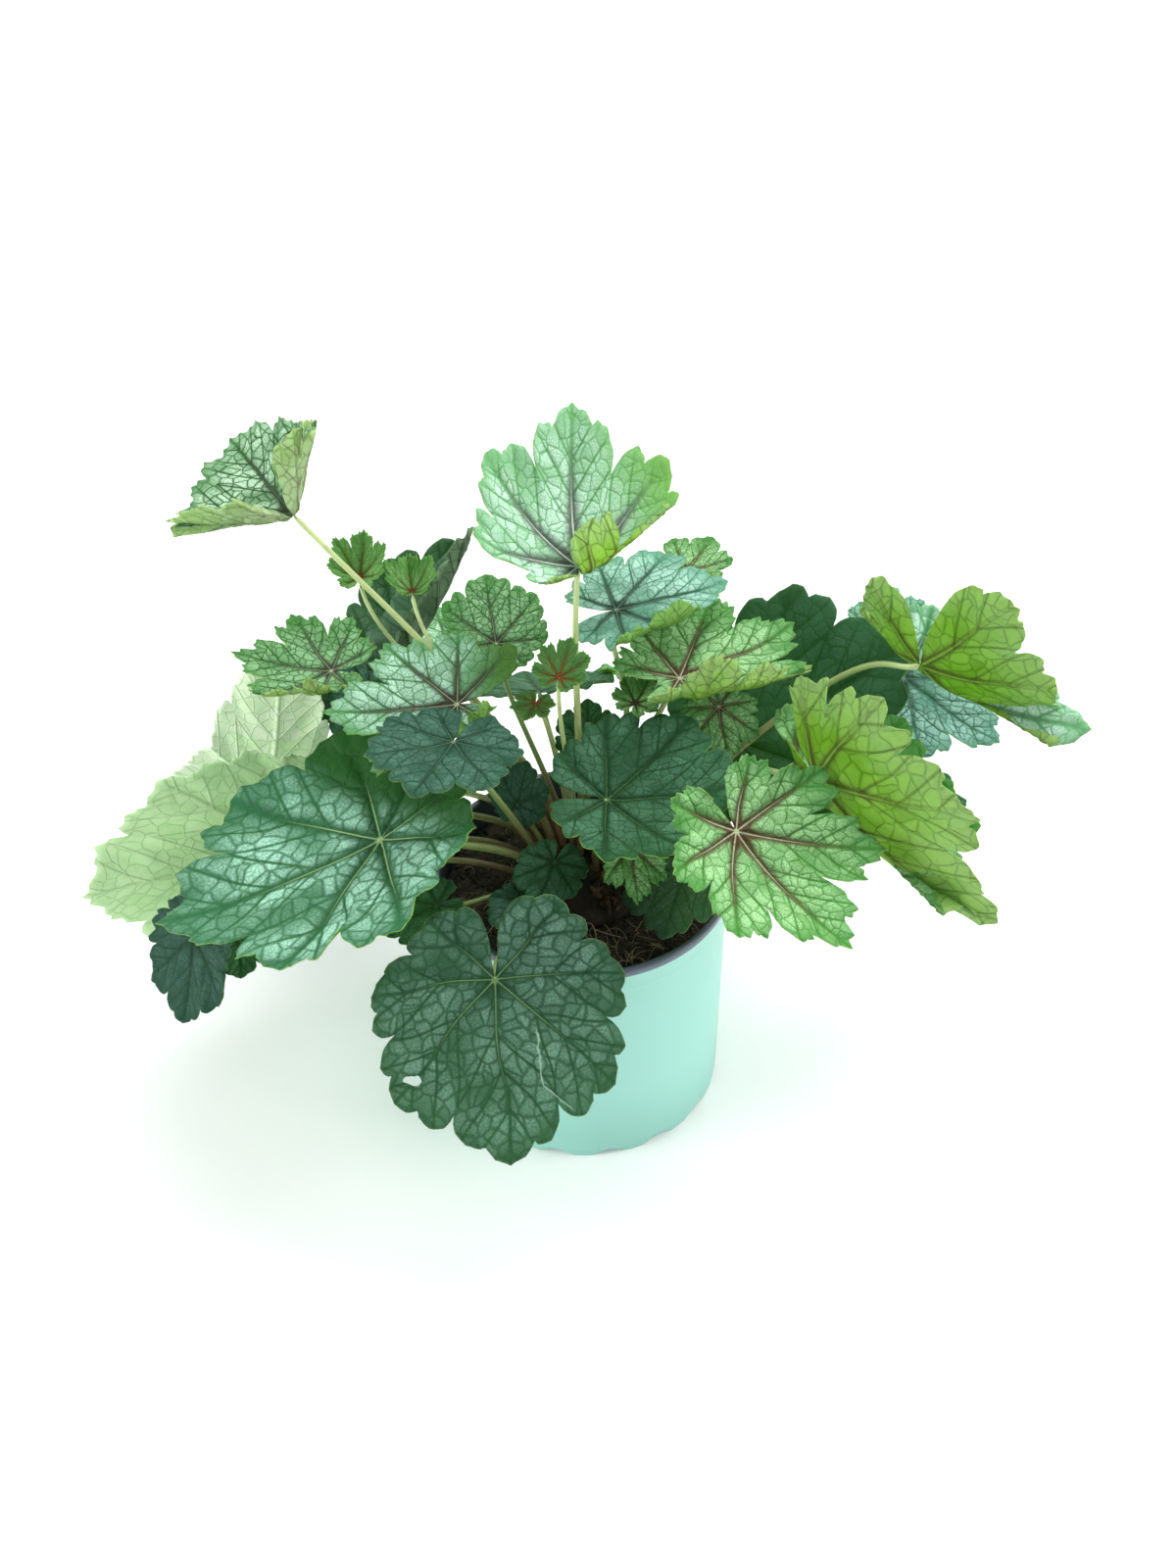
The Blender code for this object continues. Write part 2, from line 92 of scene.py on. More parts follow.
class Shade:
    """One output of a finish's node; sums and products of it add their Math nodes."""

    def __init__(self, finish, socket):
        self.finish = finish
        self.socket = socket

    def maths(self, operation, first, second=0.0):
        return self.finish.node("Math", {"operation": operation}, {0: first, 1: second})

    def __add__(self, other):
        return self.maths("ADD", self, other)

    def __sub__(self, other):
        return self.maths("SUBTRACT", self, other)

    def __rsub__(self, other):
        return self.maths("SUBTRACT", other, self)

    def __mul__(self, other):
        return self.maths("MULTIPLY", self, other)

    def __truediv__(self, other):
        return self.maths("DIVIDE", self, other)

    def __abs__(self):
        return self.maths("ABSOLUTE", self)

    __radd__ = __add__
    __rmul__ = __mul__

    def fraction(self):
        return self.maths("FRACT", self)

    def clamped(self):
        return self.finish.node("Clamp", {}, {"Value": self})

    def between(self, low, high):
        """Rises smoothly from 0 at low to 1 at high, or falls where high is the smaller."""
        values = {"Value": self, "From Min": low, "From Max": high}
        return self.finish.node("MapRange", {"interpolation_type": "SMOOTHSTEP"}, values)

    def other(self, output):
        return Shade(self.finish, self.socket.node.outputs[output])


class Finish:
    """A material whose nodes are all added by node()."""

    def __init__(self, name):
        self.material = bpy.data.materials.new(name)
        self.material.use_nodes = True
        self.tree = self.material.node_tree
        self.tree.nodes.clear()

    def node(self, kind, settings, values, output=0):
        made = self.tree.nodes.new("ShaderNode" + kind)
        for key, setting in settings.items():
            setattr(made, key, setting)
        for key, value in values.items():
            socket = made.inputs[key]
            if isinstance(value, Shade):
                self.tree.links.new(value.socket, socket)
            elif socket.type == "RGBA":
                socket.default_value = (*value, 1)
            else:
                socket.default_value = value
        return Shade(self, made.outputs[output]) if made.outputs else None

    def mix(self, share, first, second):
        return self.node("Mix", {"data_type": "RGBA"}, {0: share, 6: first, 7: second}, output=2)

    def noise(self, where, scale, detail=2.0):
        return self.node("TexNoise", {}, {"Vector": where, "Scale": scale, "Detail": detail})

    def spot(self):
        return self.node("TexCoord", {}, {}, output="Object")

    def bump(self, height, strength, distance):
        return self.node("Bump", {}, {"Height": height, "Strength": strength, "Distance": distance})

    def surface(self, shader):
        self.node("OutputMaterial", {}, {"Surface": shader})
        return self.material


def table_top():
    f = Finish("table_top")
    grain = f.noise(f.spot(), 180.0)
    tone = f.mix(grain, (0.93, 0.94, 0.94), (0.96, 0.96, 0.96))
    values = {"Base Color": tone, "Roughness": 0.8, "Emission Color": tone, "Emission Strength": 0.12}
    return f.surface(f.node("BsdfPrincipled", {}, values))


floor_shape = bmesh.new()
bmesh.ops.create_grid(floor_shape, x_segments=1, y_segments=1, size=6)
floor_mesh = bpy.data.meshes.new("floor")
floor_shape.to_mesh(floor_mesh)
floor_shape.free()
floor_mesh.materials.append(table_top())
floor = bpy.data.objects.new("floor", floor_mesh)
scene.collection.objects.link(floor)

# ---------------------------------------------------------------------------------------------------
# Pot. A thin nursery pot of two-layer polypropylene, mint outside and slate inside, blown and trimmed:
# a rolled lip, a faint mould line below it, a foot with a scalloped edge and six drain holes.
# ---------------------------------------------------------------------------------------------------
MM = 0.001
WELD = 0.002 * MM
RIM_RADIUS = 65 * MM
FOOT_RADIUS = 61 * MM
POT_HEIGHT = 120 * MM
WALL = 1.6 * MM
LIP_WIDTH = 3.2 * MM
LIP_HEIGHT = 4.5 * MM
FLOOR_TOP = 5.3 * MM
FLOOR_UNDER = 3.5 * MM
LIP_BOTTOM = POT_HEIGHT - LIP_HEIGHT
MOULD_LINE = POT_HEIGHT - 14 * MM
POT_STEPS = 192
SCALLOPS = 16
SCALLOP_RISE = 3 * MM
DRAINS = 6
DRAIN_RADIUS = 4.5 * MM
DRAIN_RING = 38 * MM


def piece(name, shape, finishes, nodes, smooth=True):
    """Makes a bmesh a piece of the plant that stands for CAD nodes."""
    mesh = bpy.data.meshes.new(name)
    shape.to_mesh(mesh)
    shape.free()
    if smooth:
        mesh.shade_smooth()
    for finish in finishes:
        mesh.materials.append(finish)
    obj = bpy.data.objects.new(name, mesh)
    scene.collection.objects.link(obj)
    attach(obj, "root")
    if nodes:
        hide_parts(*nodes)
    return obj


def wall_radius(height):
    """The outer radius of the pot's wall at a height."""
    return FOOT_RADIUS + (RIM_RADIUS - LIP_WIDTH + WALL - FOOT_RADIUS) * height / POT_HEIGHT


def weld(shape):
    """Merges the points that meet and turns every face outwards."""
    bmesh.ops.remove_doubles(shape, verts=shape.verts, dist=WELD)
    bmesh.ops.recalc_face_normals(shape, faces=shape.faces)


def put_in_order(elements, place):
    """Numbers points, edges or faces by where they are, so that every run gives the same mesh."""
    for number, element in enumerate(sorted(elements, key=place)):
        element.index = number
    elements.sort()


def spun(shape, profile, steps):
    """A profile of (radius, height) points, turned about Z and closed at the axis."""
    points = [shape.verts.new((radius, 0, height)) for radius, height in profile]
    edges = [shape.edges.new(pair) for pair in zip(points, points[1:])]
    bmesh.ops.spin(
        shape, geom=points + edges, cent=(0, 0, 0), axis=(0, 0, 1), angle=2 * math.pi, steps=steps,
        use_merge=True,
    )
    weld(shape)
    put_in_order(shape.verts, lambda vert: vert.co[:])
    put_in_order(shape.edges, lambda edge: sorted(vert.co[:] for vert in edge.verts))
    put_in_order(shape.faces, lambda face: face.calc_center_median()[:])


def mint_plastic():
    """Smooth, lightly streaked mint polypropylene with faint scuffs, and painted shade that darkens it in
    patches near the foot.
    """
    f = Finish("mint_plastic")
    spot = f.spot()
    cloud = f.noise(spot, 22.0, 3.0)
    stretched = f.node("Mapping", {}, {"Vector": spot, "Scale": (1, 1, 14)})
    streak = f.noise(stretched, 60.0, 3.0)
    scuff = f.noise(spot, 420.0, 4.0)
    height = f.node("SeparateXYZ", {}, {"Vector": spot}, output=2)
    colour = f.mix(cloud, (0.34, 0.70, 0.60), (0.38, 0.74, 0.65))
    # painted shade: the wall darkens in patches towards the foot
    painted_foot_shade = height.between(45 * MM, 0.0) * cloud.between(0.2, 0.6)
    colour = f.mix(painted_foot_shade * 0.55, colour, (0.27, 0.58, 0.49))
    speck = f.node("TexVoronoi", {}, {"Vector": spot, "Scale": 130.0}).between(0.10, 0.05)
    speck = speck * f.noise(spot, 70.0).between(0.60, 0.68)
    colour = f.mix(speck * 0.5, colour, (0.16, 0.34, 0.30))
    relief = streak * 0.5 + scuff * 0.3
    normal = f.bump(relief, 0.25, 0.25 * MM)
    values = {"Base Color": colour, "Roughness": streak * 0.2 + 0.3, "Normal": normal}
    values["Subsurface Weight"] = 0.15
    values["Subsurface Radius"] = (0.6, 1.0, 0.9)
    values["Subsurface Scale"] = 2 * MM
    return f.surface(f.node("BsdfPrincipled", {}, values))


def slate_plastic():
    """The slate inner layer, with crumbs of dried mix rubbed into it."""
    f = Finish("slate_plastic")
    spot = f.spot()
    cloud = f.noise(spot, 60.0, 3.0)
    dust = f.noise(spot, 350.0, 4.0).between(0.55, 0.75)
    colour = f.mix(cloud, (0.075, 0.100, 0.135), (0.130, 0.165, 0.215))
    colour = f.mix(dust * 0.5, colour, (0.10, 0.085, 0.07))
    normal = f.bump(dust, 0.3, 0.2 * MM)
    values = {"Base Color": colour, "Roughness": dust * 0.3 + 0.3, "Normal": normal}
    return f.surface(f.node("BsdfPrincipled", {}, values))


def build_pot():
    """One turned profile: up the inside from the floor, over the lip, down the outside, under the foot."""
    inner = RIM_RADIUS - LIP_WIDTH
    profile = [(0, FLOOR_TOP), (20 * MM, FLOOR_TOP), (40 * MM, FLOOR_TOP)]
    profile += [(wall_radius(FLOOR_TOP) - WALL, FLOOR_TOP)]
    for share in (0.1, 0.3, 0.5, 0.7, 0.85, 0.95):
        height = FLOOR_TOP + (LIP_BOTTOM - FLOOR_TOP) * share
        profile.append((wall_radius(height) - WALL, height))
    profile += [(inner - 0.5 * MM, LIP_BOTTOM), (inner, POT_HEIGHT - 1.6 * MM)]
    for turn in range(170, -20, -20):
        angle = math.radians(turn)
        middle = (inner + RIM_RADIUS) / 2
        half = LIP_WIDTH / 2
        profile.append((middle + half * math.cos(angle), POT_HEIGHT - half + half * math.sin(angle)))
    profile += [
        (RIM_RADIUS, LIP_BOTTOM + 1.2 * MM),
        (RIM_RADIUS - 0.5 * MM, LIP_BOTTOM + 0.2 * MM),
        (wall_radius(LIP_BOTTOM) + 0.3 * MM, LIP_BOTTOM - 0.4 * MM),
        (wall_radius(LIP_BOTTOM), LIP_BOTTOM - 1.2 * MM),
        (wall_radius(MOULD_LINE) + 0.1 * MM, MOULD_LINE + 0.8 * MM),
        (wall_radius(MOULD_LINE) + 0.1 * MM, MOULD_LINE + 0.1 * MM),
        (wall_radius(MOULD_LINE) - 0.45 * MM, MOULD_LINE - 0.4 * MM),
        (wall_radius(MOULD_LINE) - 0.5 * MM, MOULD_LINE - 1.6 * MM),
    ]
    for share in (0.85, 0.7, 0.55, 0.4, 0.25, 0.12, 0.05):
        height = MOULD_LINE * share
        profile.append((FOOT_RADIUS + (wall_radius(MOULD_LINE) - 0.5 * MM - FOOT_RADIUS) * share, height))
    profile += [
        (FOOT_RADIUS - 0.1 * MM, 1.0 * MM),
        (FOOT_RADIUS - 0.6 * MM, 0),
        (FOOT_RADIUS - 1.6 * MM, 0),
        (FOOT_RADIUS - 2.2 * MM, 0.5 * MM),
        (FOOT_RADIUS - 3.4 * MM, FLOOR_UNDER),
        (40 * MM, FLOOR_UNDER),
        (17 * MM, FLOOR_UNDER),
        (15.5 * MM, 0.4 * MM),
        (14.5 * MM, 0),
        (0, 0),
    ]
    shape = bmesh.new()
    spun(shape, profile, POT_STEPS)
    for vert in shape.verts:
        radius = math.hypot(vert.co.x, vert.co.y)
        if radius > FOOT_RADIUS - 2.5 * MM and vert.co.z < 4 * MM:
            turn = math.atan2(vert.co.y, vert.co.x) * SCALLOPS / (2 * math.pi)
            arch = 0.5 - 0.5 * math.cos(2 * math.pi * turn)
            vert.co.z += SCALLOP_RISE * max(0.0, arch - 0.3) / 0.7 * (1 - vert.co.z / (4 * MM))
    slate_above = LIP_BOTTOM + 0.4 * MM
    for face in shape.faces:
        middle = face.calc_center_median()
        outside = math.hypot(middle.x, middle.y) > wall_radius(middle.z) - 1.0 * MM
        face.material_index = 0 if (outside and middle.z < slate_above) or middle.z < 4 * MM else 1
    pot = piece("pot_body", shape, (mint_plastic(), slate_plastic()), ("pot",))

    drains = bmesh.new()
    for k in range(DRAINS):
        added = bmesh.ops.create_cone(
            drains, cap_ends=True, segments=24, radius1=DRAIN_RADIUS, radius2=DRAIN_RADIUS, depth=20 * MM
        )["verts"]
        turn = 2 * math.pi * k / DRAINS
        place = (DRAIN_RING * math.cos(turn), DRAIN_RING * math.sin(turn), 0)
        bmesh.ops.translate(drains, verts=added, vec=place)
    punch_mesh = bpy.data.meshes.new("drain_punch")
    drains.to_mesh(punch_mesh)
    drains.free()
    punch = bpy.data.objects.new("drain_punch", punch_mesh)
    scene.collection.objects.link(punch)
    cut = pot.modifiers.new("drains", "BOOLEAN")
    cut.operation = "DIFFERENCE"
    cut.object = punch
    bpy.context.view_layer.update()
    punched = bpy.data.meshes.new_from_object(pot.evaluated_get(bpy.context.evaluated_depsgraph_get()))
    pot.modifiers.clear()
    pot.data = punched
    bpy.data.objects.remove(punch)


build_pot()

# ---------------------------------------------------------------------------------------------------
# Potting mix. Dark peat and composted bark, loosely mounded to a little below the rim, with bark chips,
# coir fibres and a few dry straws lying on it.
# ---------------------------------------------------------------------------------------------------
MIX_EDGE_HEIGHT = 108 * MM
MIX_MOUND = 3 * MM
MIX_RADIUS = 59.6 * MM
LITTER_REACH = 58 * MM
MIX_STEPS = 150
CHIPS = 520
STRAWS = 230
STRAW_POINTS = 8


def mix_height(x, y):
    """The lumpy top of the mix at a spot."""
    reach = math.hypot(x, y) / LITTER_REACH
    lump = noise.fractal(Vector((x, y, 0)) * 95, 0.8, 2.2, 4) * 1.6 * MM
    return MIX_EDGE_HEIGHT + MIX_MOUND * max(0.0, 1 - reach**3) - 1.2 * MM + lump


def peat():
    """Near-black clods with brown crumbs among them."""
    f = Finish("peat")
    spot = f.spot()
    clod = f.noise(spot, 160.0, 6.0)
    crumb = f.noise(spot, 900.0, 5.0)
    colour = f.mix(clod.between(0.35, 0.7), (0.012, 0.011, 0.009), (0.060, 0.048, 0.034))
    colour = f.mix(crumb.between(0.50, 0.72) * 0.85, colour, (0.17, 0.135, 0.09))
    relief = clod + crumb * 0.6
    normal = f.bump(relief, 1.0, 1.2 * MM)
    values = {"Base Color": colour, "Roughness": 0.95, "Normal": normal}
    return f.surface(f.node("BsdfPrincipled", {}, values))


def litter(name, dark, light):
    """Dry bark, fibre or old stalk, streaked between a dark and a light brown."""
    f = Finish(name)
    spot = f.spot()
    shade = f.noise(spot, 120.0, 2.0)
    grain = f.noise(spot, 1400.0, 3.0)
    colour = f.mix(shade.between(0.3, 0.7), dark, light)
    colour = f.mix(grain.between(0.4, 0.8) * 0.5, colour, dark)
    normal = f.bump(grain, 0.7, 0.3 * MM)
    values = {"Base Color": colour, "Roughness": 0.85, "Normal": normal}
    return f.surface(f.node("BsdfPrincipled", {}, values))


def tube(shape, points, radii, sides):
    """A closed tube along points, tapered to nothing at both ends."""
    before = len(shape.verts)
    bmesh.ops.create_grid(shape, x_segments=len(points) - 1, y_segments=sides, size=1)
    shape.verts.ensure_lookup_table()
    added = shape.verts[before:]
    route = np.array(points)
    way = np.gradient(route, axis=0)
    way /= np.linalg.norm(way, axis=1)[:, None]
    across = np.cross(way, (0.31, 0.83, 0.46))
    across /= np.linalg.norm(across, axis=1)[:, None]
    over = np.cross(way, across)
    for vert in added:
        k = round((vert.co.x + 1) / 2 * (len(points) - 1))
        turn = math.pi * vert.co.y
        end = 0 if k in (0, len(points) - 1) else radii[k]
        vert.co = route[k] + (across[k] * math.cos(turn) + over[k] * math.sin(turn)) * end
    return added


def build_mix():
    """The body of the mix down to the pot's floor, then the chips and the straws that lie on it."""
    rings = (0, 0.1, 0.2, 0.3, 0.4, 0.48, 0.56, 0.63, 0.7, 0.76, 0.82, 0.87, 0.92, 0.96, 1)
    profile = [(MIX_RADIUS * share, MIX_EDGE_HEIGHT) for share in rings]
    profile += [(MIX_RADIUS, MIX_EDGE_HEIGHT - 4 * MM), (58.9 * MM, 50 * MM)]
    profile += [(58.6 * MM, FLOOR_TOP + 0.3 * MM), (0, FLOOR_TOP + 0.3 * MM)]
    shape = bmesh.new()
    spun(shape, profile, MIX_STEPS)
    for vert in shape.verts:
        if vert.co.z > MIX_EDGE_HEIGHT - 1 * MM:
            vert.co.z = mix_height(vert.co.x, vert.co.y)
    piece("mix_body", shape, (peat(),), ("potting_mix",))

    chance = np.random.default_rng(11)
    chips = bmesh.new()
    for _ in range(CHIPS):
        reach = LITTER_REACH * math.sqrt(chance.uniform(0.02, 1))
        bearing = chance.uniform(0, 2 * math.pi)
        x, y = reach * math.cos(bearing), reach * math.sin(bearing)
        added = bmesh.ops.create_icosphere(chips, subdivisions=1, radius=1)["verts"]
        jitter = chance.uniform(0.75, 1.2, len(added))
        for vert, gain in zip(added, jitter):
            vert.co *= gain
        size = Vector((chance.uniform(1.0, 4.2), chance.uniform(0.6, 1.8), chance.uniform(0.3, 0.9))) * MM
        bmesh.ops.scale(chips, verts=added, vec=size)
        heading = Matrix.Rotation(chance.uniform(0, 6.3), 3, "Z")
        turn = heading @ Matrix.Rotation(chance.normal(0, 0.35), 3, "X")
        bmesh.ops.rotate(chips, verts=added, matrix=turn)
        bmesh.ops.translate(chips, verts=added, vec=(x, y, mix_height(x, y) + 0.2 * MM))
    chip_finish = litter("bark", (0.012, 0.010, 0.008), (0.075, 0.052, 0.034))
    piece("bark_chips", chips, (chip_finish,), (), smooth=False)

    straws = bmesh.new()
    for _ in range(STRAWS):
        reach = 54 * MM * math.sqrt(chance.uniform(0.05, 1))
        bearing = chance.uniform(0, 2 * math.pi)
        start = Vector((reach * math.cos(bearing), reach * math.sin(bearing), 0))
        heading = chance.uniform(0, 2 * math.pi)
        length = chance.uniform(5, 20) * MM
        bend = chance.normal(0, 0.9)
        rise = abs(chance.normal(0, 0.18))
        points = []
        for step in range(STRAW_POINTS):
            t = step / (STRAW_POINTS - 1)
            angle = heading + bend * t
            spot = start + Vector((math.cos(angle), math.sin(angle), 0)) * length * (t - 0.5)
            if spot.length > LITTER_REACH:
                spot = spot.normalized() * LITTER_REACH
            arch = length * rise * math.sin(math.pi * t)
            points.append((spot.x, spot.y, mix_height(spot.x, spot.y) + 0.4 * MM + arch))
        tube(straws, points, [chance.uniform(0.12, 0.28) * MM] * STRAW_POINTS, 5)
    weld(straws)
    coir = litter("coir", (0.10, 0.07, 0.04), (0.52, 0.40, 0.26))
    piece("coir_fibres", straws, (coir,), ())


build_mix()

# ---------------------------------------------------------------------------------------------------
# Rootstock. The short woody crown that sits on the mix, ringed with the brown stubs of old stalks; every
# leaf rises from it.
# ---------------------------------------------------------------------------------------------------
CROWN_RADIUS = 28 * MM
CROWN_HEIGHT = 14 * MM
CROWN_BASE = MIX_EDGE_HEIGHT + MIX_MOUND + 0.3 * MM
CROWN_RINGS = 14
CROWN_STEPS = 80
STUBS = 90


def crown_point(reach, bearing, lift=0.0):
    """A point on the rootstock's dome and the dome's outward direction there."""
    share = min(reach / CROWN_RADIUS, 0.95)
    rise = math.sqrt(1 - share * share)
    out = Vector((math.cos(bearing), math.sin(bearing), 0))
    point = out * reach + Vector((0, 0, CROWN_BASE + CROWN_HEIGHT * rise))
    normal = out * (share / CROWN_RADIUS) + Vector((0, 0, rise / CROWN_HEIGHT))
    normal.normalize()
    return point + normal * lift, normal


def build_crown():
    """The knobbly dome of the rootstock, then the stubs of old stalks that stand on it."""
    profile = [(0, CROWN_BASE + CROWN_HEIGHT)]
    for k in range(1, CROWN_RINGS):
        turn = math.pi / (2 * CROWN_RINGS) * k
        profile.append((CROWN_RADIUS * math.sin(turn), CROWN_BASE + CROWN_HEIGHT * math.cos(turn)))
    profile += [(CROWN_RADIUS, CROWN_BASE), (0, CROWN_BASE)]
    shape = bmesh.new()
    spun(shape, profile, CROWN_STEPS)
    for vert in shape.verts:
        if vert.co.z > CROWN_BASE + 0.5 * MM:
            knob = noise.fractal(vert.co * 130, 0.9, 2.1, 3)
            vert.co += vert.normal * min(knob * 1.6 * MM, 1.0 * MM)
    bark = litter("crown_bark", (0.012, 0.010, 0.008), (0.055, 0.040, 0.026))
    piece("crown_body", shape, (bark,), ("rootstock",))

    chance = np.random.default_rng(5)
    stubs = bmesh.new()
    for _ in range(STUBS):
        reach = (CROWN_RADIUS - 1 * MM) * math.sqrt(chance.uniform(0.03, 1))
        foot, out = crown_point(reach, chance.uniform(0, 2 * math.pi), -0.8 * MM)
        length = chance.uniform(3, 11) * MM
        lean = Vector(chance.normal(0, 0.35, 3))
        points = [foot + (out + lean * t) * length * t for t in (0, 0.2, 0.45, 0.7, 0.92, 1)]
        width = chance.uniform(0.7, 1.6) * MM
        tube(stubs, points, [0, width * 1.2, width, width * 0.8, width * 0.45, 0], 7)
    weld(stubs)
    stub_finish = litter("old_stalks", (0.030, 0.018, 0.012), (0.14, 0.085, 0.045))
    piece("stalk_stubs", stubs, (stub_finish,), ())


build_crown()

# ---------------------------------------------------------------------------------------------------
# Leaves. Each is a thin seven-lobed blade with a scalloped, toothed margin, carried on a slender stalk.
# The veins fan out from the stalk, sunk on the face and raised beneath, and the face is puffed between
# them; silvery or lime patches fill the cells of the vein net.
# ---------------------------------------------------------------------------------------------------
BLADE_THICKNESS = 0.45 * MM
LOBES = 7
TEETH = 9
LOBE_STEP = 46
LOBE_EDGES = [LOBE_STEP * (k - LOBES / 2) for k in range(LOBES + 1)]
LOBE_LENGTHS = (0.50, 0.68, 0.87, 1.0, 0.87, 0.68, 0.50)
BASAL_NOTCH = 0.38
SINUS_CLOSING = 14
LAP = 3
SIDE_VEIN_SLOPE = 1.25
SIDE_VEIN_STEP = 0.21
PUFF = 0.019
RIB_DIP = 0.010
RIPPLE = 0.017
WAVE = 0.010
FOLD_SOFTNESS = 0.05
VEIN_SWAY = 3.5
STALK_POINTS = 30
STALK_SIDES = 12
STALK_FOOT_RADIUS = 1.7 * MM
STALK_TIP_RADIUS = 1.15 * MM

# A form is how deep the notches between the lobes are, how round the lobes are, how deep the pleats
# along the veins are, how far the scallops and the teeth stand out, how pointed the teeth are, and by how
# many degrees the lowest lobes reach round behind the stalk.
Form = namedtuple("Form", "notch roundness pleat scallop tooth point reach")
FORMS = {
    "round": Form(notch=0.13, roundness=0.5, pleat=0.04, scallop=0.070, tooth=0.007, point=2.5, reach=11),
    "sharp": Form(notch=0.22, roundness=0.6, pleat=0.05, scallop=0.085, tooth=0.018, point=1.1, reach=4),
    "even": Form(notch=0.07, roundness=0.5, pleat=0.03, scallop=0.040, tooth=0.030, point=1.2, reach=0),
    "lapped": Form(notch=0.15, roundness=0.6, pleat=0.05, scallop=0.070, tooth=0.020, point=1.3, reach=22),
    "jagged": Form(notch=0.28, roundness=0.75, pleat=0.06, scallop=0.110, tooth=0.045, point=1.0, reach=4),
    "young": Form(notch=0.25, roundness=0.7, pleat=0.12, scallop=0.110, tooth=0.055, point=1.0, reach=0),
}

# A blade is sized by the length of its middle lobe. It is placed by the point where its stalk joins it,
# in millimetres, then by the compass heading of its middle lobe, by how far that lobe dips below level,
# and by its roll about it. Cup lifts the margin all round and fold lifts the two sides of the midrib.
# A curl is (direction across the blade, start, angle, radius), the lengths as shares of the size.
# Ring is how far from the rootstock's middle the stalk's foot stands, bow pushes the middle of the stalk
# aside, and lobes are the lengths of the seven lobes.
Leaf = namedtuple(
    "Leaf",
    "name form size at heading dip ring roll cup fold curls bow lobes",
    defaults=(0, 0.1, 0, (), (0, 0, 0), LOBE_LENGTHS),
)


def outline(place, leaf, chance):
    """How far the margin is from the stalk, in leaf sizes; place runs 0 to 7 across the lobes."""
    form = FORMS[leaf.form]
    length = np.interp(place, np.arange(LOBES) + 0.5, leaf.lobes)
    whole = np.clip(place, 0, LOBES - 0.000001)
    within = whole - np.floor(whole)
    swell = np.sin(np.pi * np.clip(within, 0, 1)) ** form.roundness
    end = (place < 0.5) | (place > LOBES - 0.5)
    smooth = length * (1 - np.where(end, BASAL_NOTCH, form.notch) * (1 - swell))
    part = np.interp(within, (0, 0.3, 0.7, 1), (0, 1, 2, 3))
    scallop_gain = chance.uniform(0.6, 1.3, LOBES * 3 + 1)[(np.floor(whole) * 3 + np.floor(part)).astype(int)]
    bulge = np.sin(np.pi * (part - np.floor(part))) ** 0.65
    tooth_number = whole * TEETH
    saw = 1 - np.abs(2 * (tooth_number - np.floor(tooth_number)) - 1)
    tooth_gain = chance.uniform(0.45, 1.35, LOBES * TEETH + 1)[np.floor(tooth_number).astype(int)]
    tooth = form.tooth * tooth_gain * (saw**form.point - 0.5)
    return smooth, length * (form.scallop * scallop_gain * (bulge - 0.75) + tooth)


def margin_angle(place, share, reach):
    """The direction of a point from the stalk, in degrees; the basal notch narrows towards the stalk."""
    angle = np.interp(place, np.arange(LOBES + 1), LOBE_EDGES)
    outer = np.clip(np.abs(place - LOBES / 2) - 2.5, 0, 1)
    closing = max(SINUS_CLOSING, reach - LAP)
    return angle + np.sign(angle) * outer * (reach + (closing - reach) * (1 - share))


def curled(points, direction, start, angle, radius):
    """Rolls the part of the blade that lies past a line across it up and over, or under if negative."""
    way = np.array([math.cos(math.radians(direction)), math.sin(math.radians(direction)), 0])
    along = points @ way - start
    total, side = math.radians(abs(angle)), math.copysign(1, angle)
    turn = np.clip(along / radius, 0, total)
    past = np.clip(along - radius * total, 0, None)
    arm = radius - side * points[:, 2]
    rolled_along = arm * np.sin(turn) + past * np.cos(turn)
    rolled_up = side * (radius - arm * np.cos(turn) + past * np.sin(turn))
    result = points.copy()
    moved = along > 0
    result[moved] += np.outer((rolled_along - along)[moved], way)
    result[moved, 2] = rolled_up[moved]
    return result


def blade_axes(leaf):
    """The blade's own midrib, side and face directions, as rows."""
    heading, dip, roll = (math.radians(a) for a in (leaf.heading, leaf.dip, leaf.roll))
    midrib = np.array([math.cos(heading) * math.cos(dip), math.sin(heading) * math.cos(dip), -math.sin(dip)])
    level = np.array([-math.sin(heading), math.cos(heading), 0.0])
    face = np.cross(midrib, level)
    side = level * math.cos(roll) + face * math.sin(roll)
    return np.stack([midrib, side, np.cross(midrib, side)])


